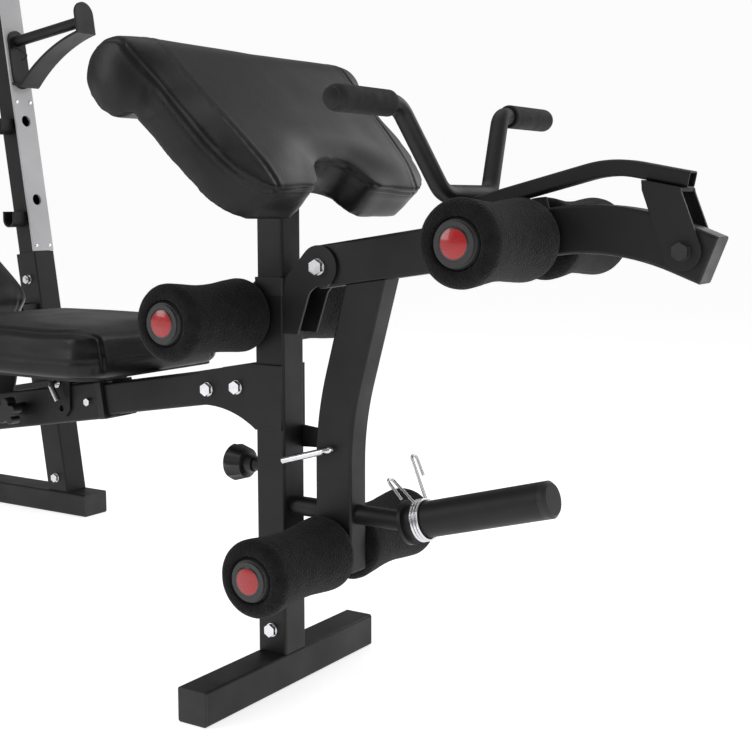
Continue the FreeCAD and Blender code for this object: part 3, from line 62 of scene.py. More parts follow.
# ---- materials ----
class Look:
    """A node material on the piece's own coordinates, built up step by step."""

    def __init__(self, name, roughness, metallic=0.0, specular=0.5, coat=0.0, coat_roughness=0.1, sheen=0.0):
        self.mat = bpy.data.materials.new(name)
        self.mat.use_nodes = True
        self.tree = self.mat.node_tree
        self.shader = self.tree.nodes["Principled BSDF"]
        values = {"Roughness": roughness, "Metallic": metallic, "Specular IOR Level": specular,
                  "Coat Weight": coat, "Coat Roughness": coat_roughness, "Sheen Weight": sheen}
        for socket, value in values.items():
            self.shader.inputs[socket].default_value = value
        self.coords = self.node("ShaderNodeTexCoord").outputs["Object"]
        self.normal = None

    def node(self, kind, **settings):
        made = self.tree.nodes.new(kind)
        for key, value in settings.items():
            setattr(made, key, value)
        return made

    def link(self, source, target):
        self.tree.links.new(source, target)

    def noise(self, scale, detail=3.0, stretch=None):
        """Noise texture, stretched along an axis if asked. Returns its value output."""
        source = self.coords
        if stretch:
            mapping = self.node("ShaderNodeMapping")
            mapping.inputs["Scale"].default_value = stretch
            self.link(source, mapping.inputs["Vector"])
            source = mapping.outputs["Vector"]
        texture = self.node("ShaderNodeTexNoise")
        texture.inputs["Scale"].default_value = scale
        texture.inputs["Detail"].default_value = detail
        self.link(source, texture.inputs["Vector"])
        return texture.outputs["Fac"]

    def cells(self, scale, feature="F1"):
        texture = self.node("ShaderNodeTexVoronoi", feature=feature)
        texture.inputs["Scale"].default_value = scale
        self.link(self.coords, texture.inputs["Vector"])
        return texture.outputs["Distance"]

    def ramp(self, value, stops, interpolation="LINEAR"):
        ramp = self.node("ShaderNodeValToRGB")
        ramp.color_ramp.interpolation = interpolation
        elements = ramp.color_ramp.elements
        while len(elements) < len(stops):
            elements.new(0.5)
        for element, (position, color) in zip(elements, stops):
            element.position = position
            element.color = (*color, 1.0)
        self.link(value, ramp.inputs["Fac"])
        return ramp.outputs["Color"]

    def tint(self, dark, light, scale):
        """Cloudy variation of the base colour."""
        color = self.ramp(self.noise(scale, 5.0), [(0.32, dark), (0.68, light)])
        self.link(color, self.shader.inputs["Base Color"])
        self.color = color
        return self

    def gloss(self, low, high, scale):
        """Roughness that varies over the surface."""
        spread = self.node("ShaderNodeMapRange")
        spread.inputs["From Min"].default_value = 0.3
        spread.inputs["From Max"].default_value = 0.7
        spread.inputs["To Min"].default_value = low
        spread.inputs["To Max"].default_value = high
        self.link(self.noise(scale, 4.0), spread.inputs["Value"])
        self.link(spread.outputs["Result"], self.shader.inputs["Roughness"])
        return self

    def relief(self, value, depth, strength=1.0):
        """One more layer of bump, depth in metres."""
        bump = self.node("ShaderNodeBump")
        bump.inputs["Strength"].default_value = strength
        bump.inputs["Distance"].default_value = depth
        self.link(value, bump.inputs["Height"])
        if self.normal:
            self.link(self.normal, bump.inputs["Normal"])
        self.normal = bump.outputs["Normal"]
        self.link(self.normal, self.shader.inputs["Normal"])
        return self

    def soft_edges(self, radius):
        """Small rounding that catches the light along every edge."""
        bevel = self.node("ShaderNodeBevel", samples=6)
        bevel.inputs["Radius"].default_value = radius
        self.normal = bevel.outputs["Normal"]
        self.link(self.normal, self.shader.inputs["Normal"])
        return self

    def worn_edges(self, color, radius, amount):
        """Paint that is thinner and paler along the edges."""
        bevel = self.node("ShaderNodeBevel", samples=6)
        bevel.inputs["Radius"].default_value = radius
        flat = self.node("ShaderNodeNewGeometry")
        dot = self.node("ShaderNodeVectorMath", operation="DOT_PRODUCT")
        self.link(bevel.outputs["Normal"], dot.inputs[0])
        self.link(flat.outputs["Normal"], dot.inputs[1])
        spread = self.node("ShaderNodeMapRange")
        spread.inputs["From Min"].default_value = 0.99
        spread.inputs["From Max"].default_value = 0.8
        spread.inputs["To Min"].default_value = 0.0
        spread.inputs["To Max"].default_value = amount
        self.link(dot.outputs["Value"], spread.inputs["Value"])
        patchy = self.node("ShaderNodeMath", operation="MULTIPLY")
        self.link(spread.outputs["Result"], patchy.inputs[0])
        self.link(self.noise(60.0, 6.0), patchy.inputs[1])
        mix = self.node("ShaderNodeMixRGB")
        mix.inputs["Color2"].default_value = (*color, 1.0)
        self.link(patchy.outputs["Value"], mix.inputs["Fac"])
        self.link(self.color, mix.inputs["Color1"])
        self.link(mix.outputs["Color"], self.shader.inputs["Base Color"])
        return self


def grey(value):
    """Grey with a touch of blue."""
    return (value, value, value * 1.02)


def powder_coat():
    look = Look("frame_paint", 0.5, specular=0.34)
    look.tint(grey(0.006), grey(0.0095), 9.0).gloss(0.4, 0.56, 14.0)
    look.worn_edges((0.05, 0.05, 0.052), 0.0012, 0.55)
    look.soft_edges(0.0011)
    return look.relief(look.noise(900.0, 2.0), 0.00022, 0.55).mat


def plate_paint():
    look = Look("plate_paint", 0.4, specular=0.4)
    look.tint(grey(0.42), grey(0.52), 6.0).gloss(0.32, 0.48, 20.0)
    look.worn_edges((0.25, 0.25, 0.26), 0.0009, 0.4)
    look.soft_edges(0.0006)
    return look.relief(look.noise(600.0, 2.0), 0.0001, 0.4).mat


def chrome():
    look = Look("chrome", 0.14, metallic=1.0)
    look.tint((0.62, 0.62, 0.64), (0.76, 0.76, 0.78), 40.0).gloss(0.1, 0.24, 90.0)
    look.soft_edges(0.0005)
    return look.relief(look.noise(1400.0, 2.0), 0.00004, 0.3).mat


def black_steel():
    look = Look("black_steel", 0.35, specular=0.5)
    look.tint(grey(0.012), grey(0.022), 60.0).gloss(0.26, 0.42, 80.0)
    look.soft_edges(0.0006)
    return look.relief(look.noise(1200.0, 2.0), 0.00006, 0.4).mat


def moulded(name, dark, light, low, high, grain):
    look = Look(name, low, specular=0.45)
    look.tint(grey(dark), grey(light), 30.0).gloss(low, high, 45.0)
    look.worn_edges(grey(light * 2.4), 0.001, 0.5)
    look.soft_edges(0.0009)
    return look.relief(look.cells(grain, "SMOOTH_F1"), 0.00012, 0.4).mat


def foam():
    look = Look("foam", 0.95, specular=0.2, sheen=0.06)
    look.tint(grey(0.0045), grey(0.0105), 60.0).gloss(0.88, 1.0, 200.0)
    look.relief(look.noise(22.0, 3.0), 0.0012, 0.4)
    look.relief(look.cells(330.0), 0.0014, 0.9)
    return look.relief(look.noise(900.0, 2.0), 0.0005, 0.6).mat


def rubber():
    look = Look("rubber", 0.75, specular=0.35)
    look.tint(grey(0.008), grey(0.014), 40.0).gloss(0.66, 0.84, 60.0)
    look.relief(look.cells(650.0), 0.0003, 0.5)
    return look.relief(look.noise(1500.0, 2.0), 0.00015, 0.5).mat


def vinyl():
    look = Look("vinyl", 0.38, specular=0.3)
    look.tint(grey(0.0035), grey(0.006), 7.0).gloss(0.32, 0.44, 16.0)
    look.relief(look.noise(28.0, 3.0), 0.0009, 0.35)
    look.relief(look.cells(620.0, "SMOOTH_F1"), 0.00035, 0.5)
    return look.relief(look.noise(1300.0, 3.0), 0.00012, 0.5).mat


def thread():
    look = Look("thread", 0.6, specular=0.4)
    look.tint(grey(0.03), grey(0.055), 300.0).gloss(0.5, 0.7, 400.0)
    return look.relief(look.noise(2400.0, 2.0), 0.0001, 0.5).mat


def board():
    look = Look("board", 0.6, specular=0.3)
    color = look.ramp(look.noise(14.0, 6.0, (1.0, 9.0, 1.0)), [(0.3, grey(0.02)), (0.7, grey(0.034))])
    look.link(color, look.shader.inputs["Base Color"])
    look.gloss(0.5, 0.7, 30.0)
    return look.relief(look.noise(120.0, 5.0, (1.0, 12.0, 1.0)), 0.0003, 0.5).mat


def badge():
    """Plain red disc with a dark edge, under a clear domed coat."""
    look = Look("badge", 0.22, coat=0.5, coat_roughness=0.05)
    across = look.node("ShaderNodeVectorMath", operation="MULTIPLY")
    across.inputs[1].default_value = (1.0, 0.0, 1.0)
    look.link(look.coords, across.inputs[0])
    radius = look.node("ShaderNodeVectorMath", operation="LENGTH")
    look.link(across.outputs["Vector"], radius.inputs[0])
    share = look.node("ShaderNodeMapRange")
    share.inputs["From Max"].default_value = BADGE_R
    look.link(radius.outputs["Value"], share.inputs["Value"])
    red, black = (0.42, 0.002, 0.005), (0.006, 0.006, 0.006)
    color = look.ramp(share.outputs["Result"], [(0.0, red), (0.84, black)], "CONSTANT")
    speckle = look.node("ShaderNodeMixRGB", blend_type="MULTIPLY")
    speckle.inputs["Fac"].default_value = 0.5
    look.link(color, speckle.inputs["Color1"])
    grain = look.ramp(look.noise(700.0, 4.0), [(0.3, grey(0.6)), (0.7, grey(1.0))])
    look.link(grain, speckle.inputs["Color2"])
    look.link(speckle.outputs["Color"], look.shader.inputs["Base Color"])
    look.gloss(0.16, 0.3, 300.0)
    return look.relief(look.noise(900.0, 2.0), 0.00004, 0.3).mat


materials = {
    "frame_paint": powder_coat(),
    "plate_paint": plate_paint(),
    "chrome": chrome(),
    "black_steel": black_steel(),
    "cap_plastic": moulded("cap_plastic", 0.008, 0.013, 0.42, 0.56, 500.0),
    "roller_cap_plastic": moulded("roller_cap_plastic", 0.02, 0.03, 0.3, 0.42, 700.0),
    "knob_plastic": moulded("knob_plastic", 0.008, 0.013, 0.34, 0.48, 600.0),
    "foam": foam(),
    "rubber": rubber(),
    "vinyl": vinyl(),
    "board": board(),
    "thread": thread(),
    "badge": badge(),
}

for part in frame["record"]["subparts"]:
    data = nodes[part["node"]].data
    data.materials.clear()
    data.materials.append(materials[part["material_slot"]])


# ---- mesh helpers ----
def new_piece(name, vertices, faces, material):
    data = bpy.data.meshes.new(name)
    data.from_pydata([tuple(v) for v in vertices], [], faces)
    data.update()
    data.polygons.foreach_set("use_smooth", [True] * len(data.polygons))
    data.materials.append(materials[material])
    piece = bpy.data.objects.new(name, data)
    scene.collection.objects.link(piece)
    return piece


def clean(piece, merge=1e-5):
    """Merge doubled points and turn all faces outwards."""
    work = bmesh.new()
    work.from_mesh(piece.data)
    bmesh.ops.remove_doubles(work, verts=work.verts, dist=merge)
    bmesh.ops.recalc_face_normals(work, faces=work.faces)
    work.to_mesh(piece.data)
    work.free()
    piece.data.update()


WOBBLE_FROM_R = 20 * MM         # nothing nearer the axis is uneven, so that bores stay round
WOBBLE_COARSE = 24.0            # noise frequencies of the unevenness, per metre
WOBBLE_FINE = 70.0


def lathe(name, profile, centre, material, closed, segments=96, wobble=0.0):
    """Turn (radius, y) pairs about the Y line through centre. The piece's origin is at centre."""
    count = len(profile)
    vertices, faces = [], []
    for step in range(segments):
        turn = 2 * math.pi * step / segments
        for radius, y in profile:
            point = Vector((radius * math.cos(turn), y, radius * math.sin(turn)))
            if wobble and radius > WOBBLE_FROM_R:
                push = noise.noise(point * WOBBLE_COARSE + centre * 3.0)
                push += 0.5 * noise.noise(point * WOBBLE_FINE)
                point += Vector((point.x, 0, point.z)).normalized() * wobble * push
            vertices.append(point)
    last = count if closed else count - 1
    for step in range(segments):
        here, there = step * count, (step + 1) % segments * count
        for i in range(last):
            j = (i + 1) % count
            faces.append((here + i, here + j, there + j, there + i))
    piece = new_piece(name, vertices, faces, material)
    clean(piece)
    piece.location = centre
    return piece


def arc(centre_r, centre_y, radius, start, end, steps):
    """Points of an arc in the (radius, y) plane, angles in degrees."""
    points = []
    for i in range(steps + 1):
        angle = math.radians(start + (end - start) * i / steps)
        points.append((centre_r + radius * math.cos(angle), centre_y + radius * math.sin(angle)))
    return points


def apply_modifiers(piece):
    """Replace the piece's mesh with the one its modifiers make."""
    bpy.context.view_layer.update()
    graph = bpy.context.evaluated_depsgraph_get()
    made = bpy.data.meshes.new_from_object(piece.evaluated_get(graph))
    piece.modifiers.clear()
    old = piece.data
    piece.data = made
    bpy.data.meshes.remove(old)


def coordinates(data):
    flat = np.empty(len(data.vertices) * 3)
    data.vertices.foreach_get("co", flat)
    return flat.reshape(-1, 3)


def normals(data):
    flat = np.empty(len(data.vertices) * 3)
    data.vertices.foreach_get("normal", flat)
    return flat.reshape(-1, 3)


def set_coordinates(data, points):
    data.vertices.foreach_set("co", points.ravel())
    data.update()


# ---- foam rollers ----
SIDES = (("right", -1), ("left", 1))
FOAM_EDGE = 13 * MM             # rounding of a roller's ends
FOAM_SWELL = 6 * MM             # how far the outer end stands out round the cap
FOAM_PROUD = 2 * MM             # how far the foam stands outside its CAD solid
FOAM_WAIST = 5.5 * MM           # how much smaller the radius is at mid-length
FOAM_WOBBLE = 0.5 * MM
FOAM_RINGS = 24                 # steps along the waist
BORE_R = 12.6 * MM              # hole through the foam, just clear of the roller bar
CAP_R = 31 * MM
ROLLER_ROWS = (("thigh", "thigh_roller_caps", "frame"),
               ("upper", "lever_roller_caps", "leg_lever"),
               ("lower", "lever_roller_caps", "leg_lever"))


def foam_profile(radius, inner, outer, side):
    """Section of a foam tube: rounded ends, a waist, and an end face that swells round the cap."""
    points = [(BORE_R, inner), (BORE_R + 10 * MM, inner - 0.2 * MM)]
    points += arc(radius - FOAM_EDGE, inner + FOAM_EDGE, FOAM_EDGE, -90, 0, 8)
    start, end = inner + FOAM_EDGE, outer - FOAM_EDGE
    for i in range(1, FOAM_RINGS):
        share = i / FOAM_RINGS
        dip = math.sin(math.pi * share) ** 1.3
        points.append((radius - FOAM_WAIST * dip, start + (end - start) * share))
    points += arc(radius - FOAM_EDGE, outer - FOAM_EDGE, FOAM_EDGE, 0, 90, 8)
    points += [(CAP_R + 3.5 * MM, outer - 0.3 * MM), (CAP_R + 0.9 * MM, outer - 2.5 * MM),
               (CAP_R + 0.6 * MM, outer - FOAM_SWELL), (BORE_R, outer - FOAM_SWELL)]
    return [(r, side * y) for r, y in points]


def foam_roller(row, name, side):
    """One foam roller in place of its CAD solid. Returns the middle of its bar."""
    node = f"{row}_foam_roller_{name}"
    low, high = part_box(node)
    centre = (low + high) / 2
    axis = Vector((centre.x, 0, centre.z))
    inner, outer = sorted((abs(low.y), abs(high.y)))
    profile = foam_profile((high.z - low.z) / 2 + FOAM_PROUD, inner, outer + FOAM_SWELL, side)
    roller = lathe(f"{row}_roller_{name}_foam", profile, axis, "foam", True, wobble=FOAM_WOBBLE)
    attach(roller, f"{row}_roller_{name}")
    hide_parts(node)
    return axis


def cap_badge(row, name, side, axis, cap_node, cap_body):
    """Domed red disc on the cap at a roller's outer end."""
    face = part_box(cap_node)[1].y + BADGE_PROUD
    rise = [BADGE_R * i / 10 for i in range(11)]
    dome = [(r, side * (face - BADGE_DOME + math.sqrt(BADGE_DOME ** 2 - r ** 2))) for r in rise]
    dome.append((0.0, dome[-1][1] - side * BADGE_BACK))
    disc = lathe(f"{row}_roller_{name}_badge", dome, axis, "badge", False, 64)
    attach(disc, cap_body)


for row, cap_node, cap_body in ROLLER_ROWS:
    for name, side in SIDES:
        bar_middle = foam_roller(row, name, side)
        cap_badge(row, name, side, bar_middle, cap_node, cap_body)


# ---- grips of the curl bar ----
GRIP_BORE = 12.1 * MM           # just clear of the handle bar
GRIP_INNER = 156 * MM           # from the middle of the bar to where a grip starts
GRIP_EDGE = 2.5 * MM            # rounding of the grip's inner end
GRIP_RIPPLE = 0.15 * MM         # how much the radius varies along the grip
GRIP_WAVES = 900                # radians of that ripple per metre
GRIP_RINGS = 30


def grip(name, side):
    """Rubber sleeve with a round tip, on one end of the handle bar."""
    low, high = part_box("curl_grips")
    radius = (high.z - low.z) / 2
    axis = Vector(((low.x + high.x) / 2, 0, (low.z + high.z) / 2))
    start = GRIP_INNER + 4 * MM
    end = high.y - radius
    profile = [(GRIP_BORE, GRIP_INNER + 3 * MM), (GRIP_BORE, GRIP_INNER)]
    profile += arc(radius - GRIP_EDGE, GRIP_INNER + GRIP_EDGE, GRIP_EDGE, -90, 0, 5)
    for i in range(1, GRIP_RINGS):
        y = start + (end - start) * i / GRIP_RINGS
        profile.append((radius + GRIP_RIPPLE * math.sin(y * GRIP_WAVES), y))
    profile += arc(0, end, radius, 0, 90, 12)
    sleeve = lathe(f"curl_grip_{name}", [(r, side * y) for r, y in profile], axis, "rubber", False, 64)
    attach(sleeve, "curl_bar")
    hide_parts("curl_grips")


for name, side in SIDES:
    grip(name, side)


# ---- upholstery ----
VOXEL = 6 * MM
CLOTH_PRESSURE = 4.0
CLOTH_FRAMES = 20
EVEN_ROUNDS = 30                # how often the swelling is averaged
SEAM_WIDTH = 2.1 * MM
SEAM_PUFF = 0.3                 # how proud the cover stands beside a seam, as a share of its depth
STITCH_PITCH = 3.4 * MM
STITCH_LENGTH = 2.5 * MM
STITCH_R = 0.42 * MM


def smooth_curve(points, spacing=1.5 * MM):
    """Even points along a rounded line through the given ones."""
    ends = [points[0] * 2 - points[1]] + list(points) + [points[-1] * 2 - points[-2]]
    dense = []
    for a, b, c, d in zip(ends, ends[1:], ends[2:], ends[3:]):
        for i in range(40):
            t = i / 40
            dense.append(0.5 * (2 * b + (c - a) * t + (2 * a - 5 * b + 4 * c - d) * t * t
                                + (3 * b - 3 * c + d - a) * t ** 3))
    dense.append(points[-1])
    even, need = [dense[0]], spacing
    for p, q in zip(dense, dense[1:]):
        step = (q - p).length
        while step >= need and step > 0:
            p = p + (q - p) * (need / step)
            even.append(p.copy())
            step = (q - p).length
            need = spacing
        need -= step
    return even


def even_out(data, values, rounds):
    """Average a value per point with its neighbours, so that the swelling has no crumples."""
    pairs = np.array([e.vertices for e in data.edges])
    count = np.bincount(pairs.ravel(), minlength=len(values))
    for _ in range(rounds):
        total = np.bincount(pairs[:, 0], values[pairs[:, 1]], len(values))
        total += np.bincount(pairs[:, 1], values[pairs[:, 0]], len(values))
        values = 0.5 * values + 0.5 * total / np.maximum(count, 1)
    return values


def surface(piece):
    """Search tree of the piece's faces."""
    data = piece.data
    return BVHTree.FromPolygons([v.co for v in data.vertices], [p.vertices for p in data.polygons])


def stuffed(name, node, shrink, rounding, pinned, cap, reshape):
    """Cushion from its CAD solid: rounded, swollen by cloth pressure, reshaped and made finer."""
    source = nodes[node]
    piece = bpy.data.objects.new(name, source.data.copy())
    scene.collection.objects.link(piece)
    clean(piece)
    remesh = piece.modifiers.new("remesh", "REMESH")
    remesh.mode = "VOXEL"
    remesh.voxel_size = VOXEL
    soften = piece.modifiers.new("soften", "SMOOTH")
    soften.factor = 0.5
    soften.iterations = rounding
    apply_modifiers(piece)
    rest = coordinates(piece.data) - normals(piece.data) * shrink
    set_coordinates(piece.data, rest)
    group = piece.vertex_groups.new(name="held")
    group.add([int(i) for i in np.nonzero(pinned(rest))[0]], 1.0, "REPLACE")
    cloth = piece.modifiers.new("cloth", "CLOTH")
    cloth.settings.use_pressure = True
    cloth.settings.uniform_pressure_force = CLOTH_PRESSURE
    cloth.settings.effector_weights.gravity = 0.0
    cloth.settings.vertex_group_mass = "held"
    cloth.point_cache.frame_end = CLOTH_FRAMES
    for step in range(1, CLOTH_FRAMES + 1):
        scene.frame_set(step)
    graph = bpy.context.evaluated_depsgraph_get()
    swollen = coordinates(piece.evaluated_get(graph).to_mesh())
    outward = normals(piece.data)
    swell = np.clip(((swollen - rest) * outward).sum(axis=1), -cap, cap)
    move = outward * even_out(piece.data, swell, EVEN_ROUNDS)[:, None]
    piece.modifiers.clear()
    piece.vertex_groups.clear()
    scene.frame_set(1)
    set_coordinates(piece.data, rest + move)
    set_coordinates(piece.data, reshape(coordinates(piece.data)))
    finer = piece.modifiers.new("finer", "SUBSURF")
    finer.levels = 1
    finer.render_levels = 1
    apply_modifiers(piece)
    piece.data.polygons.foreach_set("use_smooth", [True] * len(piece.data.polygons))
    piece.data.materials.clear()
    piece.data.materials.append(materials["vinyl"])
    return piece


def snapped(piece, lines):
    """Seam lines laid onto the cushion's surface, with the surface normal at each point."""
    tree = surface(piece)
    laid = []
    for line in lines:
        found = [tree.find_nearest(p) for p in line]
        laid.append([(f[0], f[1]) for f in found])
    return laid


def press_seams(piece, laid, depths):
    """Pull the cover in along each seam, and let it stand proud beside it."""
    points, normal = coordinates(piece.data), normals(piece.data)
    for line, depth in zip(laid, depths):
        near = kdtree.KDTree(len(line))
        for i, (p, _) in enumerate(line):
            near.insert(p, i)
        near.balance()
        reach = SEAM_WIDTH * 7
        distance = np.array([near.find(Vector(p))[2] for p in points])
        touched = distance < reach
        d = distance[touched] / SEAM_WIDTH
        shape = depth * np.exp(-d ** 2) - SEAM_PUFF * depth * np.exp(-((d - 3.2) / 1.8) ** 2)
        points[touched] -= normal[touched] * shape[:, None]
    set_coordinates(piece.data, points)


def stitches(name, piece, laid, body):
    """Rows of short stitches lying on the cushion."""
    tree = surface(piece)
    vertices, faces = [], []
    for line in laid:
        points = smooth_curve([p for p, _ in line[::4]], STITCH_PITCH)
        for p, q in zip(points, points[1:]):
            along = (q - p).normalized()
            spot, out, _, _ = tree.find_nearest((p + q) / 2)
            across = along.cross(out).normalized()
            up = across.cross(along).normalized()
            if up.dot(out) < 0:
                up = -up
            base = len(vertices)
            middle = spot + out * STITCH_R * 0.35
            tip = along * STITCH_LENGTH / 2
            sink = up * STITCH_R * 0.7
            vertices += [middle - tip - sink]
            for share in (-0.28, 0.28):
                ring_centre = middle + along * STITCH_LENGTH * share
                for a, b in ((1, 0), (0, 1), (-1, 0), (0, -1)):
                    vertices.append(ring_centre + across * a * STITCH_R + up * b * STITCH_R)
            vertices += [middle + tip - sink]
            for i in range(4):
                j = (i + 1) % 4
                faces += [(base, base + 1 + j, base + 1 + i),
                          (base + 1 + i, base + 1 + j, base + 5 + j, base + 5 + i),
                          (base + 9, base + 5 + i, base + 5 + j)]
    row = new_piece(name, vertices, faces, "thread")
    clean(row, 1e-7)
    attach(row, body)
    return row


def finish_pad(piece, node, body):
    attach(piece, body)
    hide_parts(node)


def ripple(piece, mask, amount, scale, stretch):
    """Shallow folds of the cover where mask says, stretched along an axis."""
    points, normal = coordinates(piece.data), normals(piece.data)
    weight = mask(points)
    for i in np.nonzero(weight > 0.01)[0]:
        sample = Vector((points[i][0] * stretch[0], points[i][1] * stretch[1], points[i][2] * stretch[2]))
        points[i] += normal[i] * amount * weight[i] * noise.noise(sample * scale)
    set_coordinates(piece.data, points)


# curl pad: local axes are down the slope, across, and out of the face
PAD_SLOPE = math.radians(46.5)
ROLL_R = 51 * MM                # radius of the rolled top edge
PAD_WRAP = 12.6 * MM            # how far the cover is drawn down over the board's edge
ROLL_DOME = 8 * MM              # how far the roll's ends stand out
RIM = 44.0                      # radius of the seam round the roll's ends, in mm
PANEL = 52.0                    # the panel seam's radius round the roll, and its height below it, in mm
pad_low, pad_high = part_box("curl_pad")
roll = Vector((pad_low.x + ROLL_R, 0, pad_high.z - ROLL_R))
down = Vector((math.cos(PAD_SLOPE), 0, -math.sin(PAD_SLOPE)))
out = Vector((math.sin(PAD_SLOPE), 0, math.cos(PAD_SLOPE)))
half = pad_high.y


def on_pad(u, v, w):
    return roll + down * u * MM + Vector((0, v * MM, 0)) + out * w * MM


def pad_held(points):
    height = (points - np.array(roll)) @ np.array(out)
    along = (points - np.array(roll)) @ np.array(down)
    return (height < 2 * MM) & (along > 30 * MM)


def wrap_board(points):
    """The cover is drawn down over the edge of the board, and the roll's ends are domed."""
    local = points - np.array(roll)
    height, along = local @ np.array(out), local @ np.array(down)
    share = np.clip((7 * MM - height) / (10 * MM), 0, 1) * np.clip((along - 25 * MM) / (40 * MM), 0, 1)
    points = points - np.array(out) * (PAD_WRAP * share)[:, None]
    middle = np.clip(1 - (height ** 2 + along ** 2) / (50 * MM) ** 2, 0, 1)
    at_end = np.clip((np.abs(local[:, 1]) - half + 14 * MM) / (8 * MM), 0, 1)
    points[:, 1] += np.sign(local[:, 1]) * ROLL_DOME * middle ** 0.7 * at_end
    return points


pad = stuffed("curl_pad_cover", "curl_pad", 0.0, 12, pad_held, 9 * MM, wrap_board)

half_mm = half / MM
side_line = [(0, half_mm - 3), (60, half_mm - 9), (120, half_mm - 15), (163, 235), (190, 227), (216, 212),
             (234, 190), (243, 160), (243, 125), (238, 90), (222, 62), (203, 40), (192, 20), (188, 0)]
panel_line = [(0, 205), (60, 199), (120, 192), (180, 182), (215, 174), (236, 169)]
rim_turns = list(range(250, 95, -20))
lines, lines_low, panel = [], [], []
for side in (-1, 1):
    rim = [on_pad(RIM * math.cos(math.radians(a)), side * (half_mm - 3), RIM * math.sin(math.radians(a)))
           for a in rim_turns]
    lines.append(smooth_curve(rim + [on_pad(u, side * v, 41) for u, v in side_line]))
    lines_low.append(smooth_curve([on_pad(u, side * (v + 2), 33) for u, v in side_line[1:-2]]))
    back = [on_pad(PANEL * math.cos(math.radians(a)), side * 205, PANEL * math.sin(math.radians(a)))
            for a in range(230, 95, -20)]
    face = [on_pad(u, side * v, PANEL) for u, v in panel_line]
    panel.append(smooth_curve(back + face + [on_pad(247, side * 168, 40)]))

laid_main = snapped(pad, lines)
laid_low = snapped(pad, lines_low)
laid_panel = snapped(pad, panel)
press_seams(pad, laid_main + laid_low + laid_panel, [2.2 * MM] * 2 + [1.0 * MM] * 2 + [1.7 * MM] * 2)


def gathers(points):
    """Puckers on the roll's ends, strongest behind and below."""
    local = points - np.array(roll)
    across = np.abs(local[:, 1]) / half
    height, along = local @ np.array(out), local @ np.array(down)
    behind = np.clip((10 * MM - height) / (30 * MM), 0, 1) * np.clip((40 * MM - along) / (30 * MM), 0, 1)
    return behind * np.clip((across - 0.75) / 0.2, 0, 1)


ripple(pad, gathers, 2.2 * MM, 34.0, (1.0, 0.35, 1.0))
ripple(pad, lambda p: np.ones(len(p)), 0.9 * MM, 9.0, (1.0, 1.0, 1.0))
finish_pad(pad, "curl_pad", "curl_rest")
stitches("curl_pad_stitching", pad, laid_low, "curl_rest")
beside_panel = [[(p + Vector((0, math.copysign(4 * MM, p.y), 0)), n) for p, n in line] for line in laid_panel]
stitches("curl_pad_panel_stitching", pad, beside_panel, "curl_rest")


# seat and backrest
CORNER = 42 * MM                # rounding of the cushions' corners, seen from above
BOARD_WRAP = 12.4 * MM          # how far a cover is drawn down over the board below it
CROWN = 4 * MM                  # how much higher the middle of a cushion stands


def rectangle(length, width, inset):
    """Closed rounded outline, as (along, across) from its middle."""
    a, b, r = length / 2 - inset, width / 2 - inset, CORNER - inset
    corners = ((a - r, b - r, 0), (-a + r, b - r, 90), (-a + r, -b + r, 180), (a - r, -b + r, 270))
    side_ends = ((-a + r, b), (-a, -b + r), (a - r, -b), (a, b - r))
    points = []
    for (cx, cy, start), (nx, ny) in zip(corners, side_ends):
        for i in range(5):
            t = math.radians(start + 22.5 * i)
            points.append((cx + r * math.cos(t), cy + r * math.sin(t)))
        x, y = points[-1]
        points += [((x * 2 + nx) / 3, (y * 2 + ny) / 3), ((x + nx * 2) / 3, (y + ny * 2) / 3)]
    return points + points[:1]


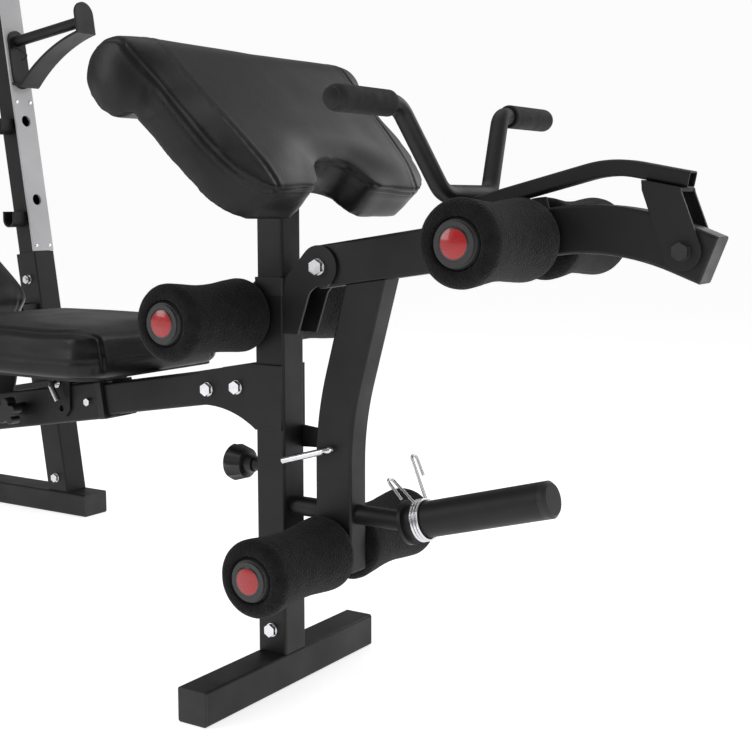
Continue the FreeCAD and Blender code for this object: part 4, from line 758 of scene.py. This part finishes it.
def flat_pad(name, node, body, along, across, normal):
    """Bench cushion with a top panel, a band round the side, and the seams between them."""
    points = coordinates(nodes[node].data)
    axes = np.array([along, across, normal])
    local = points @ axes.T
    low, high = local.min(0), local.max(0)
    middle = (low + high) / 2
    size = high - low

    def at(a, c, n):
        return Vector((np.array([middle[0] + a, middle[1] + c, n]) @ axes).tolist())

    def held(world):
        return (world @ axes.T)[:, 2] < low[2] + 6 * MM

    def over_board(world):
        """The cover goes down over the edge of the board under the pad."""
        share = np.clip((low[2] + 9 * MM - (world @ axes.T)[:, 2]) / (9 * MM), 0, 1)
        return world - np.array(normal) * (BOARD_WRAP * share)[:, None]

    def crown(world):
        """1 over the middle of the top, falling to 0 at the edges."""
        local = world @ axes.T - middle
        a = np.clip(1 - (np.abs(local[:, 0]) / (size[0] / 2)) ** 3, 0, 1)
        c = np.clip(1 - (np.abs(local[:, 1]) / (size[1] / 2)) ** 2.4, 0, 1)
        return a * c * np.clip((local[:, 2] - 0.1 * size[2]) / (0.3 * size[2]), 0, 1)

    def band(world):
        """1 on the side of the cushion, 0 on its top and bottom."""
        height = (world @ axes.T)[:, 2]
        below_top = np.clip((high[2] - 22 * MM - height) / (8 * MM), 0, 1)
        return below_top * np.clip((height - low[2] - 3 * MM) / (8 * MM), 0, 1)

    piece = stuffed(name, node, 1.2 * MM, 9, held, 8 * MM, over_board)
    half_a, half_c = size[0] / 2, size[1] / 2
    seams, beside = [], []
    for side in (-1, 1):
        path = [(half_a, 40, low[2] + 4 * MM), (half_a, 38, high[2] - 12 * MM),
                (half_a - 8 * MM, 36, high[2]), (half_a - 26 * MM, 27, high[2] + 2 * MM),
                (half_a - 60 * MM, 21, high[2] + 3 * MM),
                (half_a - 110 * MM, 19, high[2] + 3 * MM)]
        path += [(-a, c, n) for a, c, n in reversed(path)]
        seams.append(smooth_curve([at(a, side * (half_c - c * MM), n) for a, c, n in path]))
        inner_path = [at(a * 0.985, side * (half_c - (c + 5) * MM), n) for a, c, n in path[2:-2]]
        beside.append(smooth_curve(inner_path))
    outline = rectangle(size[0], size[1], 2 * MM)
    fold = [smooth_curve([at(a, c, low[2] + 17 * MM) for a, c in outline])]
    laid = snapped(piece, seams + beside + fold)
    press_seams(piece, laid[:2] + laid[4:], [2.0 * MM] * 2 + [0.8 * MM])

    points = coordinates(piece.data)
    points += np.array(normal) * (crown(points) * CROWN)[:, None]
    set_coordinates(piece.data, points)
    ripple(piece, band, 1.6 * MM, 16.0, (1.0, 1.0, 4.0))
    ripple(piece, crown, 1.1 * MM, 8.0, (1.0, 1.0, 1.0))
    finish_pad(piece, node, body)
    stitches(f"{name}_stitching", piece, laid[2:4], body)


def long_direction(node):
    """Direction in which a node's points spread the furthest, pointing up."""
    points = coordinates(nodes[node].data)
    spread = points - points.mean(0)
    vectors = np.linalg.eigh(spread.T @ spread)[1]
    return vectors[:, 2] * np.sign(vectors[2, 2])


flat_pad("seat_cover", "seat_pad", "seat", (1, 0, 0), (0, 1, 0), (0, 0, 1))

long_axis = long_direction("backrest_pad")
face_axis = np.cross(long_axis, [0, 1, 0])
face_axis = face_axis * np.sign(face_axis[2])
flat_pad("backrest_cover", "backrest_pad", "backrest", tuple(long_axis), (0, 1, 0), tuple(face_axis))


# ---- floor, light and camera ----
FLOOR_R = 40
FLOOR_SIDES = 64
FLOOR_Z = -0.0005               # just under the feet
FLOOR_GLOW = 0.69               # the floor is lit from within, for a white studio floor

floor_data = bpy.data.meshes.new("floor")
turns = [a * math.pi / 32 for a in range(FLOOR_SIDES)]
ring = [(FLOOR_R * math.cos(t), FLOOR_R * math.sin(t), FLOOR_Z) for t in turns]
floor_data.from_pydata(ring, [], [tuple(range(FLOOR_SIDES))])
floor = bpy.data.objects.new("floor", floor_data)
scene.collection.objects.link(floor)
ground = Look("floor", 0.55, specular=0.3)
ground.tint(grey(0.86), grey(0.88), 0.6).gloss(0.5, 0.6, 2.0)
ground.shader.inputs["Emission Color"].default_value = (1, 1, 1, 1)
ground.shader.inputs["Emission Strength"].default_value = FLOOR_GLOW
floor_data.materials.append(ground.mat)

# the camera sees a nearly white backdrop, which lights the bench more weakly
world = bpy.data.worlds.new("studio")
scene.world = world
world.use_nodes = True
tree = world.node_tree
backdrop = tree.nodes["Background"]
backdrop.inputs["Color"].default_value = (1, 1, 1, 1)
backdrop.inputs["Strength"].default_value = 0.97
ambient = tree.nodes.new("ShaderNodeBackground")
ambient.inputs["Color"].default_value = (1.0, 1.0, 1.0, 1)
ambient.inputs["Strength"].default_value = 0.32
rays = tree.nodes.new("ShaderNodeLightPath")
choose = tree.nodes.new("ShaderNodeMixShader")
tree.links.new(rays.outputs["Is Camera Ray"], choose.inputs["Fac"])
tree.links.new(ambient.outputs["Background"], choose.inputs[1])
tree.links.new(backdrop.outputs["Background"], choose.inputs[2])
tree.links.new(choose.outputs["Shader"], tree.nodes["World Output"].inputs["Surface"])


def lamp(name, place, target, width, height, power):
    """Soft rectangular lamp that faces the target."""
    data = bpy.data.lights.new(name, "AREA")
    data.shape = "RECTANGLE"
    data.size, data.size_y = width, height
    data.energy = power
    lit = bpy.data.objects.new(name, data)
    lit.location = place
    lit.rotation_euler = (Vector(target) - Vector(place)).to_track_quat("-Z", "Y").to_euler()
    scene.collection.objects.link(lit)


lit_spot = (0.1, 0.0, 0.55)
lamp("overhead", (-0.3, 0.2, 3.2), lit_spot, 3.0, 3.0, 22)
lamp("left", (-2.2, -2.6, 1.9), lit_spot, 1.2, 2.2, 26)
lamp("right", (2.9, -0.6, 1.5), lit_spot, 1.4, 2.4, 14)
lamp("rear", (0.9, 3.0, 2.0), lit_spot, 2.4, 1.8, 22)

AZIMUTH, ELEVATION = math.radians(32.6806), math.radians(7.52)
camera_data = bpy.data.cameras.new("camera")
camera_data.lens = 63.922
camera_data.sensor_width = 36.0
camera_data.sensor_fit = "HORIZONTAL"
camera_data.clip_start = 0.05
camera_data.clip_end = 200.0
camera = bpy.data.objects.new("camera", camera_data)
camera.location = (1.14917, -1.53404, 0.70846)
level = math.cos(ELEVATION)
ahead = Vector((-math.sin(AZIMUTH) * level, math.cos(AZIMUTH) * level, -math.sin(ELEVATION)))
camera.rotation_euler = ahead.to_track_quat("-Z", "Y").to_euler()
scene.collection.objects.link(camera)
scene.camera = camera
scene.view_settings.view_transform = "Standard"

bpy.context.view_layer.update()
